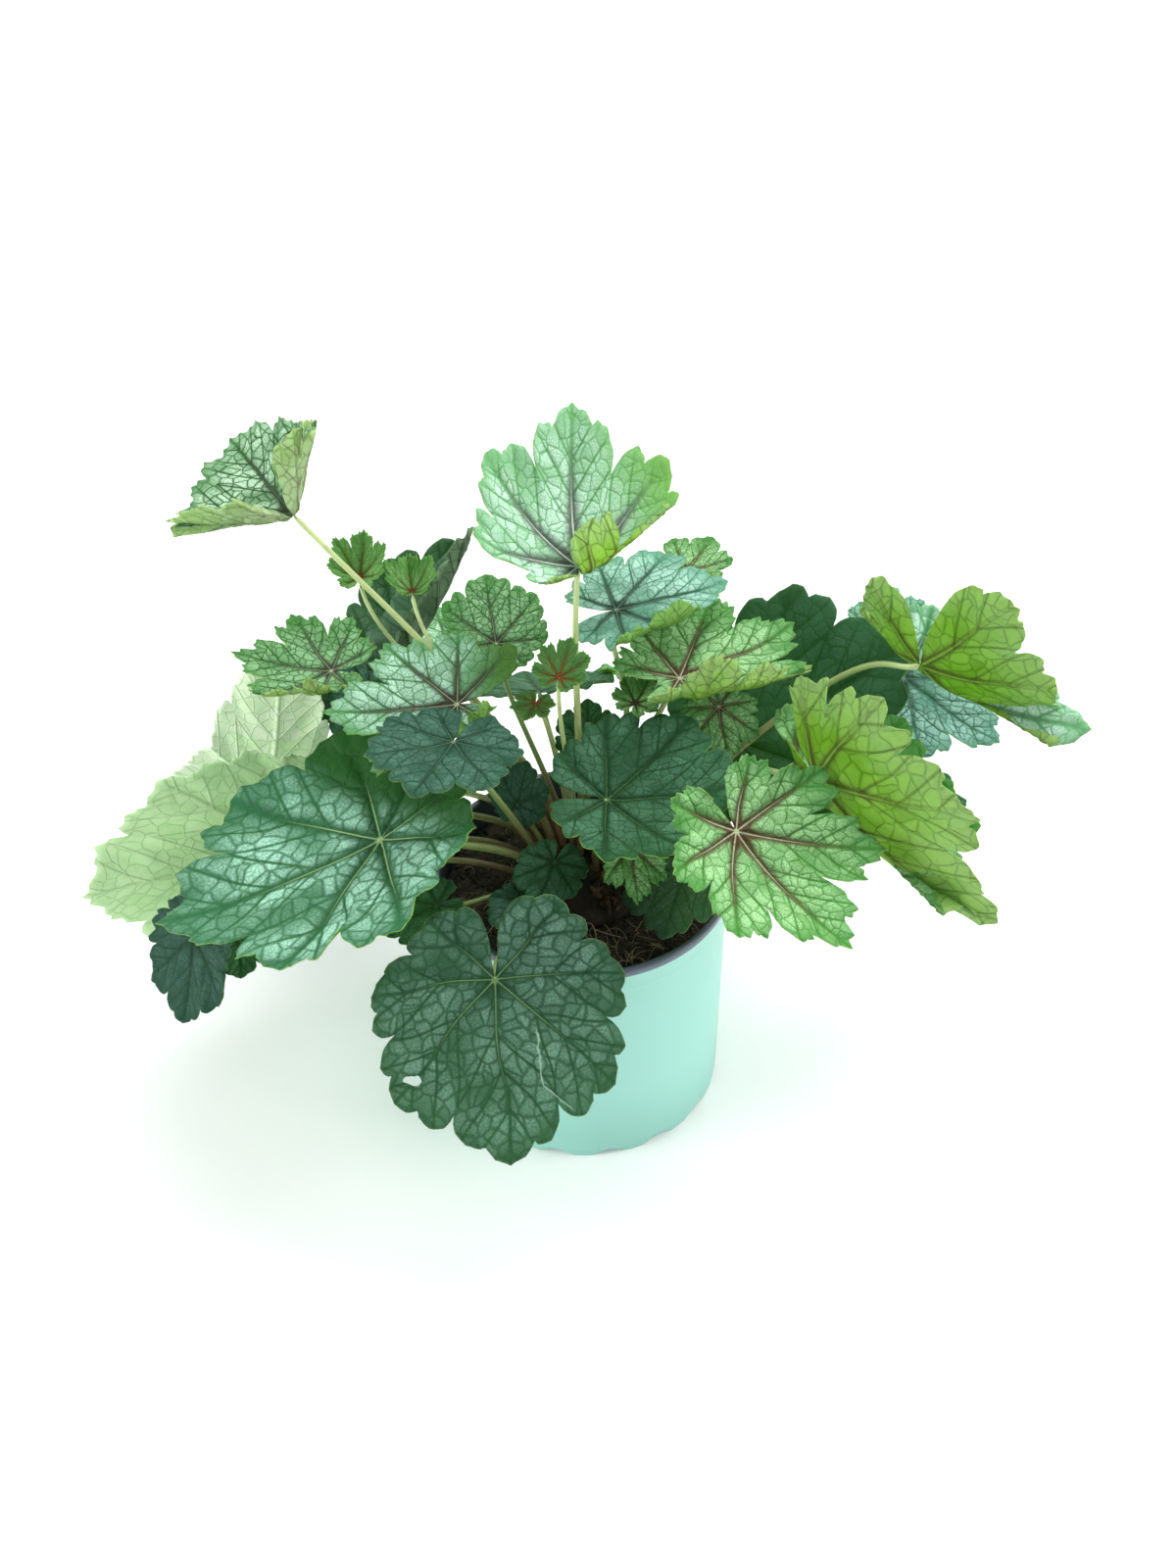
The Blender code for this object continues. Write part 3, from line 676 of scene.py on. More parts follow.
def build_blade(leaf, number, face, back):
    """A grid fanned out round the stalk's end, puffed between its veins, then cupped, folded and curled."""
    form = FORMS[leaf.form]
    size = leaf.size * MM
    chance = np.random.default_rng(100 + number)
    per_tooth, rings = (6, 24) if leaf.size >= 60 else (4, 18) if leaf.size >= 30 else (2, 12)
    shape = bmesh.new()
    bmesh.ops.create_grid(shape, x_segments=LOBES * TEETH * per_tooth, y_segments=rings, size=1)
    flat = np.array([v.co[:] for v in shape.verts])
    place = LOBES * (1 - flat[:, 0]) / 2
    share = ((1 + flat[:, 1]) / 2) ** 0.9

    smooth, edge = outline(place, leaf, chance)
    radius = share * smooth + share**9 * edge
    degrees = margin_angle(place, share, form.reach)
    sway = np.interp(place, np.arange(LOBES + 1), chance.uniform(-1, 1, LOBES + 1))
    wander = VEIN_SWAY * sway * np.sin(2 * np.pi * share) * share * (1 - share) * 4
    x = radius * np.cos(np.radians(degrees + wander))
    y = radius * np.sin(np.radians(degrees + wander))
    off_vein = np.radians((degrees + LOBE_STEP / 2) % LOBE_STEP - LOBE_STEP / 2)
    ahead, aside = radius * np.cos(off_vein), radius * np.abs(np.sin(off_vein))
    branch = (ahead - SIDE_VEIN_SLOPE * aside) / SIDE_VEIN_STEP
    between_sides = np.abs(branch - np.floor(branch) - 0.5) * 2

    quilt = (1 - np.cos(off_vein * 2 * np.pi / math.radians(LOBE_STEP))) / 2
    z = leaf.cup * radius**2 + form.pleat * radius * quilt
    z += leaf.fold * (np.hypot(y, FOLD_SOFTNESS) - FOLD_SOFTNESS)
    z += PUFF * between_sides * share * (1 - share**4) * np.clip(aside / 0.04, 0, 1)
    z -= RIB_DIP * np.clip(1 - aside / 0.02, 0, 1) * (1 - share)
    for waves in (1.5, 2.7):
        z += RIPPLE * share**4 * np.sin(2 * np.pi * (place * waves + chance.uniform()))
    z += WAVE * share * np.sin(7 * x + chance.uniform(0, 6)) * np.sin(6 * y + chance.uniform(0, 6))
    points = np.stack([x, y, z], axis=-1) * size
    for direction, start, angle, bend in leaf.curls:
        points = curled(points, direction, start * size, angle, bend * size)
    points = points @ blade_axes(leaf) + np.array(leaf.at) * MM

    spread = shape.verts.layers.float_vector.new("spread")
    growth = shape.verts.layers.float_vector.new("growth")
    for k, vert in enumerate(shape.verts):
        vert.co = points[k]
        vert[spread] = (x[k], y[k], number)
        vert[growth] = (aside[k], branch[k], share[k])
    bmesh.ops.remove_doubles(shape, verts=shape.verts, dist=WELD)
    blade = piece(leaf.name + "_blade", shape, (face, back), (leaf.name,))
    solidify = blade.modifiers.new("thickness", "SOLIDIFY")
    solidify.thickness = BLADE_THICKNESS
    solidify.offset = -1
    solidify.material_offset = 1
    solidify.material_offset_rim = 1


def build_stalk(leaf, number, finish):
    """A smooth curve that leaves the rootstock square to its dome and meets the blade from below."""
    at = Vector(leaf.at) * MM
    foot, leave = crown_point(leaf.ring * MM, math.atan2(at.y, at.x), lift=-1.5 * MM)
    midrib, _, face = (Vector(row) for row in blade_axes(leaf))
    arrive = (midrib * 0.5 + face * 0.8).normalized()
    end = at - arrive * 0.1 * MM
    reach = (end - foot).length
    slim = min(1.0, 0.62 + leaf.size / 150)
    points, radii = [], []
    for k in range(STALK_POINTS):
        t = k / (STALK_POINTS - 1)
        h1, h2 = 2 * t**3 - 3 * t**2 + 1, t**3 - 2 * t**2 + t
        h3, h4 = 3 * t**2 - 2 * t**3, t**3 - t**2
        bow = Vector(leaf.bow) * MM * math.sin(math.pi * t) ** 2
        points.append(foot * h1 + leave * reach * h2 + end * h3 + arrive * reach * 0.8 * h4 + bow)
        swollen = 1 + 0.45 * max(0.0, 1 - t / 0.12) + 0.25 * max(0.0, (t - 0.94) / 0.06)
        radii.append(slim * swollen * (STALK_FOOT_RADIUS * (1 - t) + STALK_TIP_RADIUS * t))
    shape = bmesh.new()
    growth = shape.verts.layers.float_vector.new("growth")
    added = tube(shape, points, radii, STALK_SIDES)
    for vert in added:
        along = min(range(STALK_POINTS), key=lambda k: (points[k] - vert.co).length_squared)
        vert[growth] = (0, number, along / (STALK_POINTS - 1))
    weld(shape)
    piece(leaf.name + "_stalk", shape, (finish,), (leaf.name,))


# How many cells of the net of veins, and of the fine net inside them, go along the middle lobe.
NET_CELLS = 12.0
FINE_NET_CELLS = 40.0


def leaf_parts(f):
    """What every blade's finish starts from: the flat position, how far the net and the fine net of veins
    are, a number for each cell of the net, how far the main and the side veins are, and the way out from
    the stalk, 0 to 1. Each leaf has a net of its own."""
    spread = f.node("Attribute", {"attribute_name": "spread"}, {}, output="Vector")
    growth = f.node("Attribute", {"attribute_name": "growth"}, {}, output="Vector")
    across = f.node("SeparateXYZ", {}, {"Vector": spread})
    number = across.other(2)
    tangle = f.node("TexNoise", {}, {"Vector": spread, "Scale": 5.0, "Detail": 1.0}, output="Color")
    shifted = f.node("CombineXYZ", {}, {0: across + number * 7.3, 1: across.other(1) + number * 3.1})
    warped = f.node("VectorMath", {"operation": "MULTIPLY_ADD"}, {0: tangle, 1: (0.12, 0.12, 0), 2: shifted})
    cells = {"voronoi_dimensions": "2D", "feature": "DISTANCE_TO_EDGE"}
    net = f.node("TexVoronoi", cells, {"Vector": warped, "Scale": NET_CELLS})
    fine_net = f.node("TexVoronoi", cells, {"Vector": warped, "Scale": FINE_NET_CELLS})
    cell = {"Vector": warped, "Scale": NET_CELLS}
    tone = f.node("TexVoronoi", {"voronoi_dimensions": "2D"}, cell, output="Color")
    lines = f.node("SeparateXYZ", {}, {"Vector": growth})
    side = abs(lines.other(1).fraction() - 0.5) * (SIDE_VEIN_STEP * 0.62) + lines.other(1).between(1.2, 0.9)
    lot = f.node("SeparateXYZ", {}, {"Vector": tone})
    return spread, net, fine_net, lot, lines, side, lines.other(2)


def eaten(f, spread, x, y, length, width, turn):
    """The share of blade left round a small hole with a bitten edge."""
    teeth = f.node("TexNoise", {}, {"Vector": spread, "Scale": 14.0}, output="Color")
    nibbled = f.node("VectorMath", {"operation": "MULTIPLY_ADD"}, {0: teeth, 1: (0.05, 0.05, 0), 2: spread})
    across = f.node("Mapping", {"vector_type": "TEXTURE"}, {
        "Vector": nibbled, "Location": (x, y, 0), "Rotation": (0, 0, turn), "Scale": (length, width, 1000),
    })
    away = f.node("VectorMath", {"operation": "LENGTH"}, {0: across}, output="Value")
    return away.between(0.98, 1.02)


def crease_highlight(f, spread):
    """A thin painted highlight where the blade was once bent, running down beside the midrib and across it.
    """
    along = f.node("SeparateXYZ", {}, {"Vector": spread})
    middle = along.between(0.58, 0.80) * 0.19 + 0.225
    away = abs(along.other(1) - middle + (f.noise(spread, 18.0) - 0.5) * 0.05)
    return away.between(0.008, 0.003) * along.between(0.28, 0.34) * along.between(0.76, 0.71)


def blade_face(
    name, ground, patch, cover, halo, halo_share, core, tip, relief=0.8, thread=0.30, band=0.03, mesh=0.10,
    bare=(0, 0), bare_tone=None, rib_width=0.005, spill=0.06, hole=None,
):
    """The upper face. Pale patches lie in the cells of the net and leave a band of ground colour along
    the veins; thin dark threads follow the net, a dusky halo spills from the main veins, and their ribs
    have a pale core near the stalk. Towards the bare side the patches fade."""
    f = Finish(name)
    spread, net, fine_net, lot, vein, side, rim = leaf_parts(f)
    cloud = f.noise(spread, 2.2, 2.0)
    mottle = f.noise(spread, 26.0, 3.0)
    grit = f.noise(spread, 90.0, 2.0)
    toward = f.node("VectorMath", {"operation": "DOT_PRODUCT"}, {0: spread, 1: (*bare, 0)}, output="Value")
    off_veins = vein.between(0.002, band) * side.between(0.0, 0.015)
    open_ground = off_veins * (net.between(0.0, mesh) * 0.75 + 0.25)
    grain = fine_net.between(0.0, 0.22) * 0.30 + grit.between(0.38, 0.62) * 0.40 + 0.35
    reach = (cloud.between(0.30, 0.54) * 0.75 + 0.25) * rim.between(0.0, 0.25)
    reach = reach * (1 - rim.between(0.82, 1.0) * 0.6)
    patches = open_ground * reach * grain * (lot * 0.5 + 0.6) * toward.between(0.55, 0.0)
    colour = f.mix(mottle.between(0.3, 0.75) * 0.6, ground, tuple(c * 1.5 for c in ground))
    colour = f.mix(cloud.between(0.52, 0.30) * 0.5, colour, tip)
    colour = f.mix(rim.between(0.62, 0.98) * 0.75, colour, tip)
    if bare_tone:
        colour = f.mix(toward.between(0.05, 0.60) * 0.85, colour, bare_tone)
    colour = f.mix((patches * cover).clamped(), colour, patch)
    threads = net.between(0.06, 0.0) + side.between(0.008, 0.0) + fine_net.between(0.08, 0.0) * 0.35
    colour = f.mix(threads * thread * rim.between(1.0, 0.85), colour, tuple(c * 0.4 for c in ground))
    width = (spill - rim * (spill * 0.9)) * (mottle * 1.2 + 0.5)
    near_main = (vein / width).between(1.0, 0.0)
    near_side = side.between(0.020, 0.002) * rim.between(0.65, 0.20)
    dusk = (near_main + near_side * 0.45 + rim.between(0.22, 0.03)) * rim.between(1.0, 0.45)
    colour = f.mix((dusk * halo_share).clamped(), colour, halo)
    rib = (vein / (rib_width - rim * (rib_width * 0.76))).between(1.0, 0.4)
    colour = f.mix(rib * rim.between(0.78, 0.25) * 0.9, colour, core)
    thin_rib = side.between(0.0020, 0.0008) * rim.between(0.55, 0.30)
    colour = f.mix(thin_rib * 0.4, colour, core)
    colour = f.mix(rim.between(0.040, 0.015), colour, core)
    colour = f.mix(rim.between(0.990, 0.999) * 0.25, colour, (0.30, 0.42, 0.14))
    if hole:
        # painted highlight: a pale line along the crease
        colour = f.mix(crease_highlight(f, spread) * 0.8, colour, (0.42, 0.62, 0.50))
    valley = vein.between(0.0, 0.075) + side.between(0.0, 0.040) * 0.35
    lift = valley + net.between(0.0, 0.22) * 0.30 + fine_net.between(0.0, 0.25) * 0.07 + mottle * 0.2
    normal = f.bump(lift, 1.0, relief * MM)
    values = {"Base Color": colour, "Roughness": mottle * 0.25 + 0.45, "Normal": normal}
    values["Specular IOR Level"] = 0.18
    thin = 0.25
    if hole:
        values["Alpha"] = eaten(f, spread, *hole)
        thin = values["Alpha"] * thin
    skin = f.node("BsdfPrincipled", {}, values)
    through = f.node("BsdfTranslucent", {}, {"Color": (0.16, 0.42, 0.05)})
    return f.surface(f.node("MixShader", {}, {0: thin, 1: skin, 2: through}))


def blade_back(
    name, ground, pale, vein_colour, blush, blush_share, glow=(0.45, 0.75, 0.10), thin=0.30, web_share=1.0,
    tip=None, relief=0.8, lit=0.0, hole=None,
):
    """The underside: paler and duller, with the net raised and the veins flushed near the stalk. Thin is
    the share of light that comes through, and lit a painted glow of the brightest blades, in place of
    backlight."""
    f = Finish(name)
    spread, net, fine_net, lot, vein, side, rim = leaf_parts(f)
    cloud = f.noise(spread, 2.4, 2.0)
    mottle = f.noise(spread, 30.0, 3.0)
    colour = f.mix(cloud.between(0.38, 0.62) * 0.7, ground, pale)
    colour = f.mix(rim.between(0.45, 0.95) * 0.8, colour, tip or pale)
    blotch = f.noise(spread, 5.0, 4.0)
    blotches = blotch.between(0.50, 0.72) * rim.between(1.0, 0.5)
    colour = f.mix(blotches * 0.55, colour, tuple(c * 0.55 for c in ground))
    colour = f.mix(mottle.between(0.4, 0.8) * 0.35, colour, tuple(c * 0.7 for c in ground))
    colour = f.mix(lot * net.between(0.02, 0.20) * 0.45, colour, tuple(min(1.0, c * 1.25) for c in pale))
    web = net.between(0.040, 0.0) * 0.35 + fine_net.between(0.06, 0.0) * 0.25
    web = web + side.between(0.008, 0.001) * 0.45
    colour = f.mix((web * web_share).clamped(), colour, vein_colour)
    flush = (vein / (0.065 - rim * 0.055)).between(1.0, 0.0)
    flush = flush + side.between(0.026, 0.001) * rim.between(0.9, 0.3) * 0.6
    colour = f.mix((flush * rim.between(1.0, 0.2) * blush_share).clamped(), colour, blush)
    rib = (vein / (0.008 - rim * 0.006)).between(1.0, 0.5)
    colour = f.mix(rib * 0.7 * rim.between(0.95, 0.3), colour, tuple(c * 1.1 for c in pale))
    lift = vein.between(0.022, 0.0) + side.between(0.010, 0.0) * 0.6 + net.between(0.08, 0.0) * 0.35
    lift = lift + mottle * 0.3 - vein.between(0.02, 0.09) * 0.5
    normal = f.bump(lift, 0.9, relief * MM)
    values = {"Base Color": colour, "Roughness": mottle * 0.2 + 0.55, "Normal": normal}
    values["Specular IOR Level"] = 0.15
    # painted glow: emission that stands in for light shining through the blade
    if lit:
        values["Emission Color"] = colour
        values["Emission Strength"] = lit
    if hole:
        values["Alpha"] = eaten(f, spread, *hole)
        thin = values["Alpha"] * thin
    skin = f.node("BsdfPrincipled", {}, values)
    through = f.node("BsdfTranslucent", {}, {"Color": glow})
    return f.surface(f.node("MixShader", {}, {0: thin, 1: skin, 2: through}))


def stalk_skin(name, foot, middle, tip):
    """Green and fleshy, flushed red-brown towards the rootstock, with a fine mottled bump."""
    f = Finish(name)
    growth = f.node("Attribute", {"attribute_name": "growth"}, {}, output="Vector")
    along = f.node("SeparateXYZ", {}, {"Vector": growth})
    spot = f.spot()
    mottle = f.noise(spot, 180.0, 3.0)
    colour = f.mix((along.other(2) + mottle * 0.25).between(0.12, 0.65), foot, middle)
    colour = f.mix(along.other(2).between(0.6, 1.0), colour, tip)
    colour = f.mix(mottle.between(0.5, 0.8) * 0.3, colour, foot)
    normal = f.bump(mottle, 0.4, 0.3 * MM)
    values = {"Base Color": colour, "Roughness": 0.45, "Normal": normal, "Subsurface Weight": 0.2}
    values["Subsurface Radius"] = (0.8, 1.0, 0.4)
    values["Subsurface Scale"] = 1.5 * MM
    return f.surface(f.node("BsdfPrincipled", {}, values))


leaf_numbers = itertools.count(1)


def grow(leaf, face, back, stalk):
    """Builds one leaf; its number sets the chance details of its outline and its net."""
    number = next(leaf_numbers)
    build_blade(leaf, number, face, back)
    build_stalk(leaf, number, stalk)


# ---------------------------------------------------------------------------------------------------
# Tall leaves. They stand highest over the crown: the big mint one with one lobe turned up, the rolled
# one far to the left, two buds, the teal one and the folded funnel, with a dark rolled one behind. Most
# are young and thin, so light comes through them, on long pale stalks.
# ---------------------------------------------------------------------------------------------------
BURGUNDY = (0.085, 0.028, 0.028)
WHITE_RIB = (0.80, 0.90, 0.75)
top_face = blade_face(
    "top_face", ground=(0.14, 0.4, 0.15), patch=(0.72, 1.0, 0.84), cover=1.2, halo=(0.12, 0.13, 0.13),
    halo_share=1.0, core=WHITE_RIB, tip=(0.19, 0.5, 0.2), thread=0.45, bare=(0.1, -0.75),
    bare_tone=(0.22, 0.5, 0.1), rib_width=0.01, spill=0.11,
)
lime_back = blade_back(
    "lime_back", ground=(0.22, 0.48, 0.018), pale=(0.36, 0.6, 0.1), vein_colour=(0.09, 0.14, 0.02),
    blush=(0.12, 0.08, 0.035), blush_share=0.9, thin=0.4, web_share=0.95, tip=(0.49, 0.69, 0.29),
    relief=1.3,
)
pale_stalk = stalk_skin(
    "pale_stalk", foot=(0.22, 0.11, 0.06), middle=(0.38, 0.48, 0.18), tip=(0.6, 0.72, 0.34),
)
plum_face = blade_face(
    "plum_face", ground=(0.045, 0.14, 0.05), patch=(0.7, 1.0, 0.72), cover=1.5,
    halo=(0.045, 0.045, 0.045), halo_share=0.9, core=(0.16, 0.2, 0.14), tip=(0.08, 0.26, 0.09),
    thread=1.2, mesh=0.2,
)
rosy_back = blade_back(
    "rosy_back", ground=(0.36, 0.5, 0.24), pale=(0.62, 0.86, 0.46), vein_colour=(0.22, 0.2, 0.14),
    blush=(0.2, 0.12, 0.09), blush_share=0.6, glow=(0.7, 0.9, 0.35), thin=0.3, tip=(0.44, 0.7, 0.22),
)
bud_face = blade_face(
    "bud_face", ground=(0.08, 0.25, 0.045), patch=(0.36, 0.64, 0.24), cover=0.9,
    halo=(0.15, 0.045, 0.015), halo_share=0.9, core=(0.3, 0.12, 0.05), tip=(0.11, 0.36, 0.07),
    relief=0.5,
)
grass_back = blade_back(
    "grass_back", ground=(0.15, 0.36, 0.06), pale=(0.24, 0.48, 0.11), vein_colour=(0.08, 0.18, 0.05),
    blush=BURGUNDY, blush_share=0.3,
)
haze_face = blade_face(
    "haze_face", ground=(0.03, 0.095, 0.045), patch=(0.17, 0.3, 0.19), cover=0.8,
    halo=(0.02, 0.055, 0.035), halo_share=0.3, core=(0.16, 0.27, 0.15), tip=(0.045, 0.12, 0.065),
    relief=0.5,
)
haze_back = blade_back(
    "haze_back", ground=(0.1, 0.17, 0.1), pale=(0.24, 0.36, 0.24), vein_colour=(0.08, 0.13, 0.08),
    blush=BURGUNDY, blush_share=0.1,
)
green_stalk = stalk_skin(
    "green_stalk", foot=(0.16, 0.09, 0.05), middle=(0.24, 0.34, 0.1), tip=(0.3, 0.42, 0.14),
)
teal_face = blade_face(
    "teal_face", ground=(0.045, 0.17, 0.1), patch=(0.6, 0.98, 0.82), cover=1.05,
    halo=(0.025, 0.05, 0.045), halo_share=0.85, core=(0.25, 0.38, 0.28), tip=(0.14, 0.42, 0.27),
)
lime_face = blade_face(
    "lime_face", ground=(0.075, 0.25, 0.045), patch=(0.52, 0.9, 0.44), cover=1.1,
    halo=(0.12, 0.055, 0.04), halo_share=0.95, core=(0.6, 0.64, 0.42), tip=(0.075, 0.31, 0.06),
    relief=1.1, rib_width=0.0085, spill=0.075,
)

grow(
    Leaf("leaf_top", "sharp", 62, (-2, 50, 246), heading=98, dip=-10, ring=5, roll=10, cup=0.5,
         curls=((-150, 0.06, 135, 0.05),), lobes=(0.42, 0.72, 0.87, 1.0, 0.87, 0.75, 0.36)),
    top_face, lime_back, pale_stalk,
)
grow(
    Leaf("leaf_upper_left", "even", 56, (-125, 90, 244), heading=118, dip=3, ring=10, roll=-32, cup=0.05,
         fold=0.45, curls=((160, 0.03, 60, 0.12), (-160, 0.03, 50, 0.12)),
         lobes=(0.7, 0.68, 0.67, 1.1, 0.8, 0.9, 0.6)),
    plum_face, rosy_back, pale_stalk,
)
grow(
    Leaf("leaf_bud_left", "young", 18, (-98, 95, 205), heading=80, dip=-30, ring=14, cup=0.5, fold=0.6),
    bud_face, grass_back, pale_stalk,
)
grow(
    Leaf("leaf_bud_left_low", "young", 16, (-75, 90, 201), heading=100, dip=0, ring=12, cup=0.5,
         fold=0.5),
    bud_face, grass_back, pale_stalk,
)
grow(
    Leaf("leaf_back_left_dark", "round", 66, (-83, 109, 145), heading=40, dip=-45, ring=22,
         curls=((-90, 0.02, 105, 0.06), (90, 0.05, 40, 0.1)), lobes=(0.5, 0.7, 0.9, 1.05, 0.7, 0.5, 0.4)),
    haze_face, haze_back, green_stalk,
)
grow(
    Leaf("leaf_teal", "sharp", 48, (14, 60, 215), heading=12, dip=-5, ring=8, cup=0.05,
         curls=((-75, 0.45, 130, 0.1),), bow=(15, 0, 0)),
    teal_face, grass_back, pale_stalk,
)
grow(
    Leaf("leaf_funnel", "jagged", 56, (41, 35, 198), heading=27, dip=0, ring=10, cup=0.15,
         curls=((-108, 0.25, 110, 0.12),), lobes=(0.5, 0.72, 1.05, 0.95, 0.85, 0.68, 0.5)),
    lime_face, lime_back, pale_stalk,
)
grow(
    Leaf("leaf_back_small", "sharp", 24, (45, 95, 209), heading=60, dip=0, ring=14),
    lime_face, grass_back, green_stalk,
)

# ---------------------------------------------------------------------------------------------------
# Leaves of the left side. A curled one, two large ones that hang with their pale undersides out, the
# big marbled one that lies over the rim, and small dark ones in the shade beneath. Old blades are
# thick and green, younger ones marbled with silver.
# ---------------------------------------------------------------------------------------------------
CREAM_RIB = (0.45, 0.55, 0.30)
net_face = blade_face(
    "net_face", ground=(0.045, 0.16, 0.04), patch=(0.46, 0.8, 0.44), cover=0.9,
    halo=(0.055, 0.045, 0.045), halo_share=0.8, core=CREAM_RIB, tip=(0.08, 0.29, 0.06), thread=0.8,
    mesh=0.15,
)
emerald_face = blade_face(
    "emerald_face", ground=(0.022, 0.115, 0.04), patch=(0.5, 0.9, 0.7), cover=1.15,
    halo=(0.02, 0.075, 0.045), halo_share=0.3, core=(0.4, 0.6, 0.26), tip=(0.035, 0.165, 0.075),
    relief=1.2, thread=0.15, band=0.055, mesh=0.17, bare=(-2.3, 0.5), bare_tone=(0.022, 0.105, 0.018),
    rib_width=0.0065,
)
# A near-white copy of pale_back for the high pale leaf, which faces away from the lamps: its pale colour and
# its glow are painted light, standing in for light shining through it.
painted_backlight_back = blade_back(
    "painted_backlight_back", ground=(0.76, 1.0, 0.56), pale=(0.82, 1.0, 0.7), vein_colour=(0.56, 0.72, 0.42),
    blush=BURGUNDY, blush_share=0.08, glow=(1.0, 1.0, 0.75), thin=0.1, web_share=0.4, lit=0.14,
)
pale_back = blade_back(
    "pale_back", ground=(0.56, 0.86, 0.4), pale=(0.66, 0.95, 0.52), vein_colour=(0.4, 0.52, 0.26),
    blush=BURGUNDY, blush_share=0.1, glow=(0.8, 1.0, 0.6), thin=0.25, web_share=0.5,
)
slate_face = blade_face(
    "slate_face", ground=(0.01, 0.042, 0.03), patch=(0.06, 0.14, 0.12), cover=0.9,
    halo=(0.008, 0.03, 0.02), halo_share=0.5, core=(0.06, 0.13, 0.08), tip=(0.014, 0.056, 0.042),
    relief=0.5,
)
DULL = {
    "ground": (0.08, 0.15, 0.06), "pale": (0.13, 0.22, 0.1), "vein_colour": (0.05, 0.08, 0.04),
    "blush": BURGUNDY, "blush_share": 0.3,
}
dull_back = blade_back("dull_back", **DULL)
dark_face = blade_face(
    "dark_face", ground=(0.013, 0.06, 0.022), patch=(0.11, 0.28, 0.17), cover=0.95,
    halo=(0.01, 0.04, 0.018), halo_share=0.4, core=(0.1, 0.2, 0.06), tip=(0.022, 0.095, 0.036),
    relief=0.6, band=0.05,
)
parti_face = blade_face(
    "parti_face", ground=(0.045, 0.17, 0.05), patch=(0.64, 1.0, 0.78), cover=1.1,
    halo=(0.055, 0.04, 0.04), halo_share=0.9, core=CREAM_RIB, tip=(0.1, 0.33, 0.1), bare=(-1.4, 0.0),
    bare_tone=(0.1, 0.22, 0.04), spill=0.08,
)
blue_face = blade_face(
    "blue_face", ground=(0.01, 0.052, 0.03), patch=(0.13, 0.28, 0.22), cover=0.8,
    halo=(0.01, 0.038, 0.026), halo_share=0.5, core=(0.15, 0.27, 0.16), tip=(0.02, 0.085, 0.05),
    relief=0.5,
)

grow(
    Leaf("leaf_left_curled", "jagged", 42, (-108, 48, 191), heading=165, dip=10, ring=24, roll=-5,
         cup=0.2, curls=((105, 0.35, 100, 0.12),), bow=(12, 20, -15)),
    net_face, lime_back, green_stalk,
)
grow(
    Leaf("leaf_left_pale_high", "even", 64, (-144, 66, 100), heading=185, dip=-8, ring=20, roll=90,
         lobes=(0.4, 0.5, 0.5, 0.75, 0.6, 1.3, 0.45)),
    emerald_face, painted_backlight_back, green_stalk,
)
grow(
    Leaf("leaf_left_pale_low", "even", 88, (-130, 30, 108), heading=205, dip=3, ring=24, roll=85,
         lobes=(0.5, 0.7, 0.85, 1.05, 0.85, 0.6, 0.4)),
    emerald_face, pale_back, green_stalk,
)
grow(
    Leaf("leaf_left_big", "lapped", 92, (-84, -32, 167), heading=243, dip=14, ring=18, roll=24, cup=0.15,
         fold=0.05, lobes=(0.72, 0.86, 1.03, 0.8, 0.8, 0.58, 0.5)),
    emerald_face, grass_back, green_stalk,
)
grow(
    Leaf("leaf_left_low", "round", 38, (-167, -28, 106), heading=260, dip=60, ring=25, roll=35),
    slate_face, dull_back, green_stalk,
)
grow(
    Leaf("leaf_left_low_behind", "round", 24, (-152, -12, 98), heading=280, dip=50, ring=20),
    dark_face, grass_back, green_stalk,
)
grow(
    Leaf("leaf_left_silver", "jagged", 54, (-53, 20, 196), heading=178, dip=12, ring=12, roll=-18,
         cup=0.15, curls=((120, 0.24, 110, 0.05),), lobes=(0.62, 0.62, 0.78, 1.0, 0.85, 0.5, 0.45)),
    parti_face, grass_back, pale_stalk,
)
grow(
    Leaf("leaf_left_shadow", "round", 36, (-95, 72, 161), heading=240, dip=80, ring=16),
    blue_face, dull_back, green_stalk,
)
grow(
    Leaf("leaf_left_blue", "round", 44, (-53, -13, 204), heading=250, dip=-5, ring=16),
    blue_face, dull_back, green_stalk,
)

# ---------------------------------------------------------------------------------------------------
# Leaves of the heart. The youngest ones, still pleated and flushed rust red round the stalk, stand
# among the dark round ones that close the middle over the rootstock.
# ---------------------------------------------------------------------------------------------------
rust_face = blade_face(
    "rust_face", ground=(0.05, 0.13, 0.03), patch=(0.18, 0.36, 0.1), cover=0.6, halo=(0.2, 0.04, 0.01),
    halo_share=1.0, core=(0.3, 0.12, 0.05), tip=(0.07, 0.23, 0.05), relief=0.5,
)
heart_face = blade_face(
    "heart_face", ground=(0.075, 0.25, 0.04), patch=(0.34, 0.62, 0.26), cover=1.1,
    halo=(0.06, 0.022, 0.018), halo_share=1.0, core=(0.1, 0.05, 0.03), tip=(0.085, 0.3, 0.06),
    relief=1.2,
)

grow(
    Leaf("leaf_back_middle", "round", 33, (-38, 70, 188), heading=100, dip=-20, ring=14, cup=0.15),
    net_face, grass_back, green_stalk,
)
grow(
    Leaf("leaf_heart_red", "young", 17, (-10, 18, 212), heading=70, dip=-20, ring=2, cup=0.3),
    rust_face, grass_back, pale_stalk,
)
grow(
    Leaf("leaf_heart_small", "young", 13, (-20, 22, 195), heading=250, dip=10, ring=6, cup=0.3),
    rust_face, grass_back, pale_stalk,
)
grow(
    Leaf("leaf_heart_dark", "round", 20, (2, 25, 168), heading=90, dip=-40, ring=16),
    dark_face, dull_back, green_stalk,
)
grow(
    Leaf("leaf_heart_right", "young", 16, (22, 27, 190), heading=60, dip=-10, ring=20, cup=0.2),
    heart_face, grass_back, pale_stalk,
)
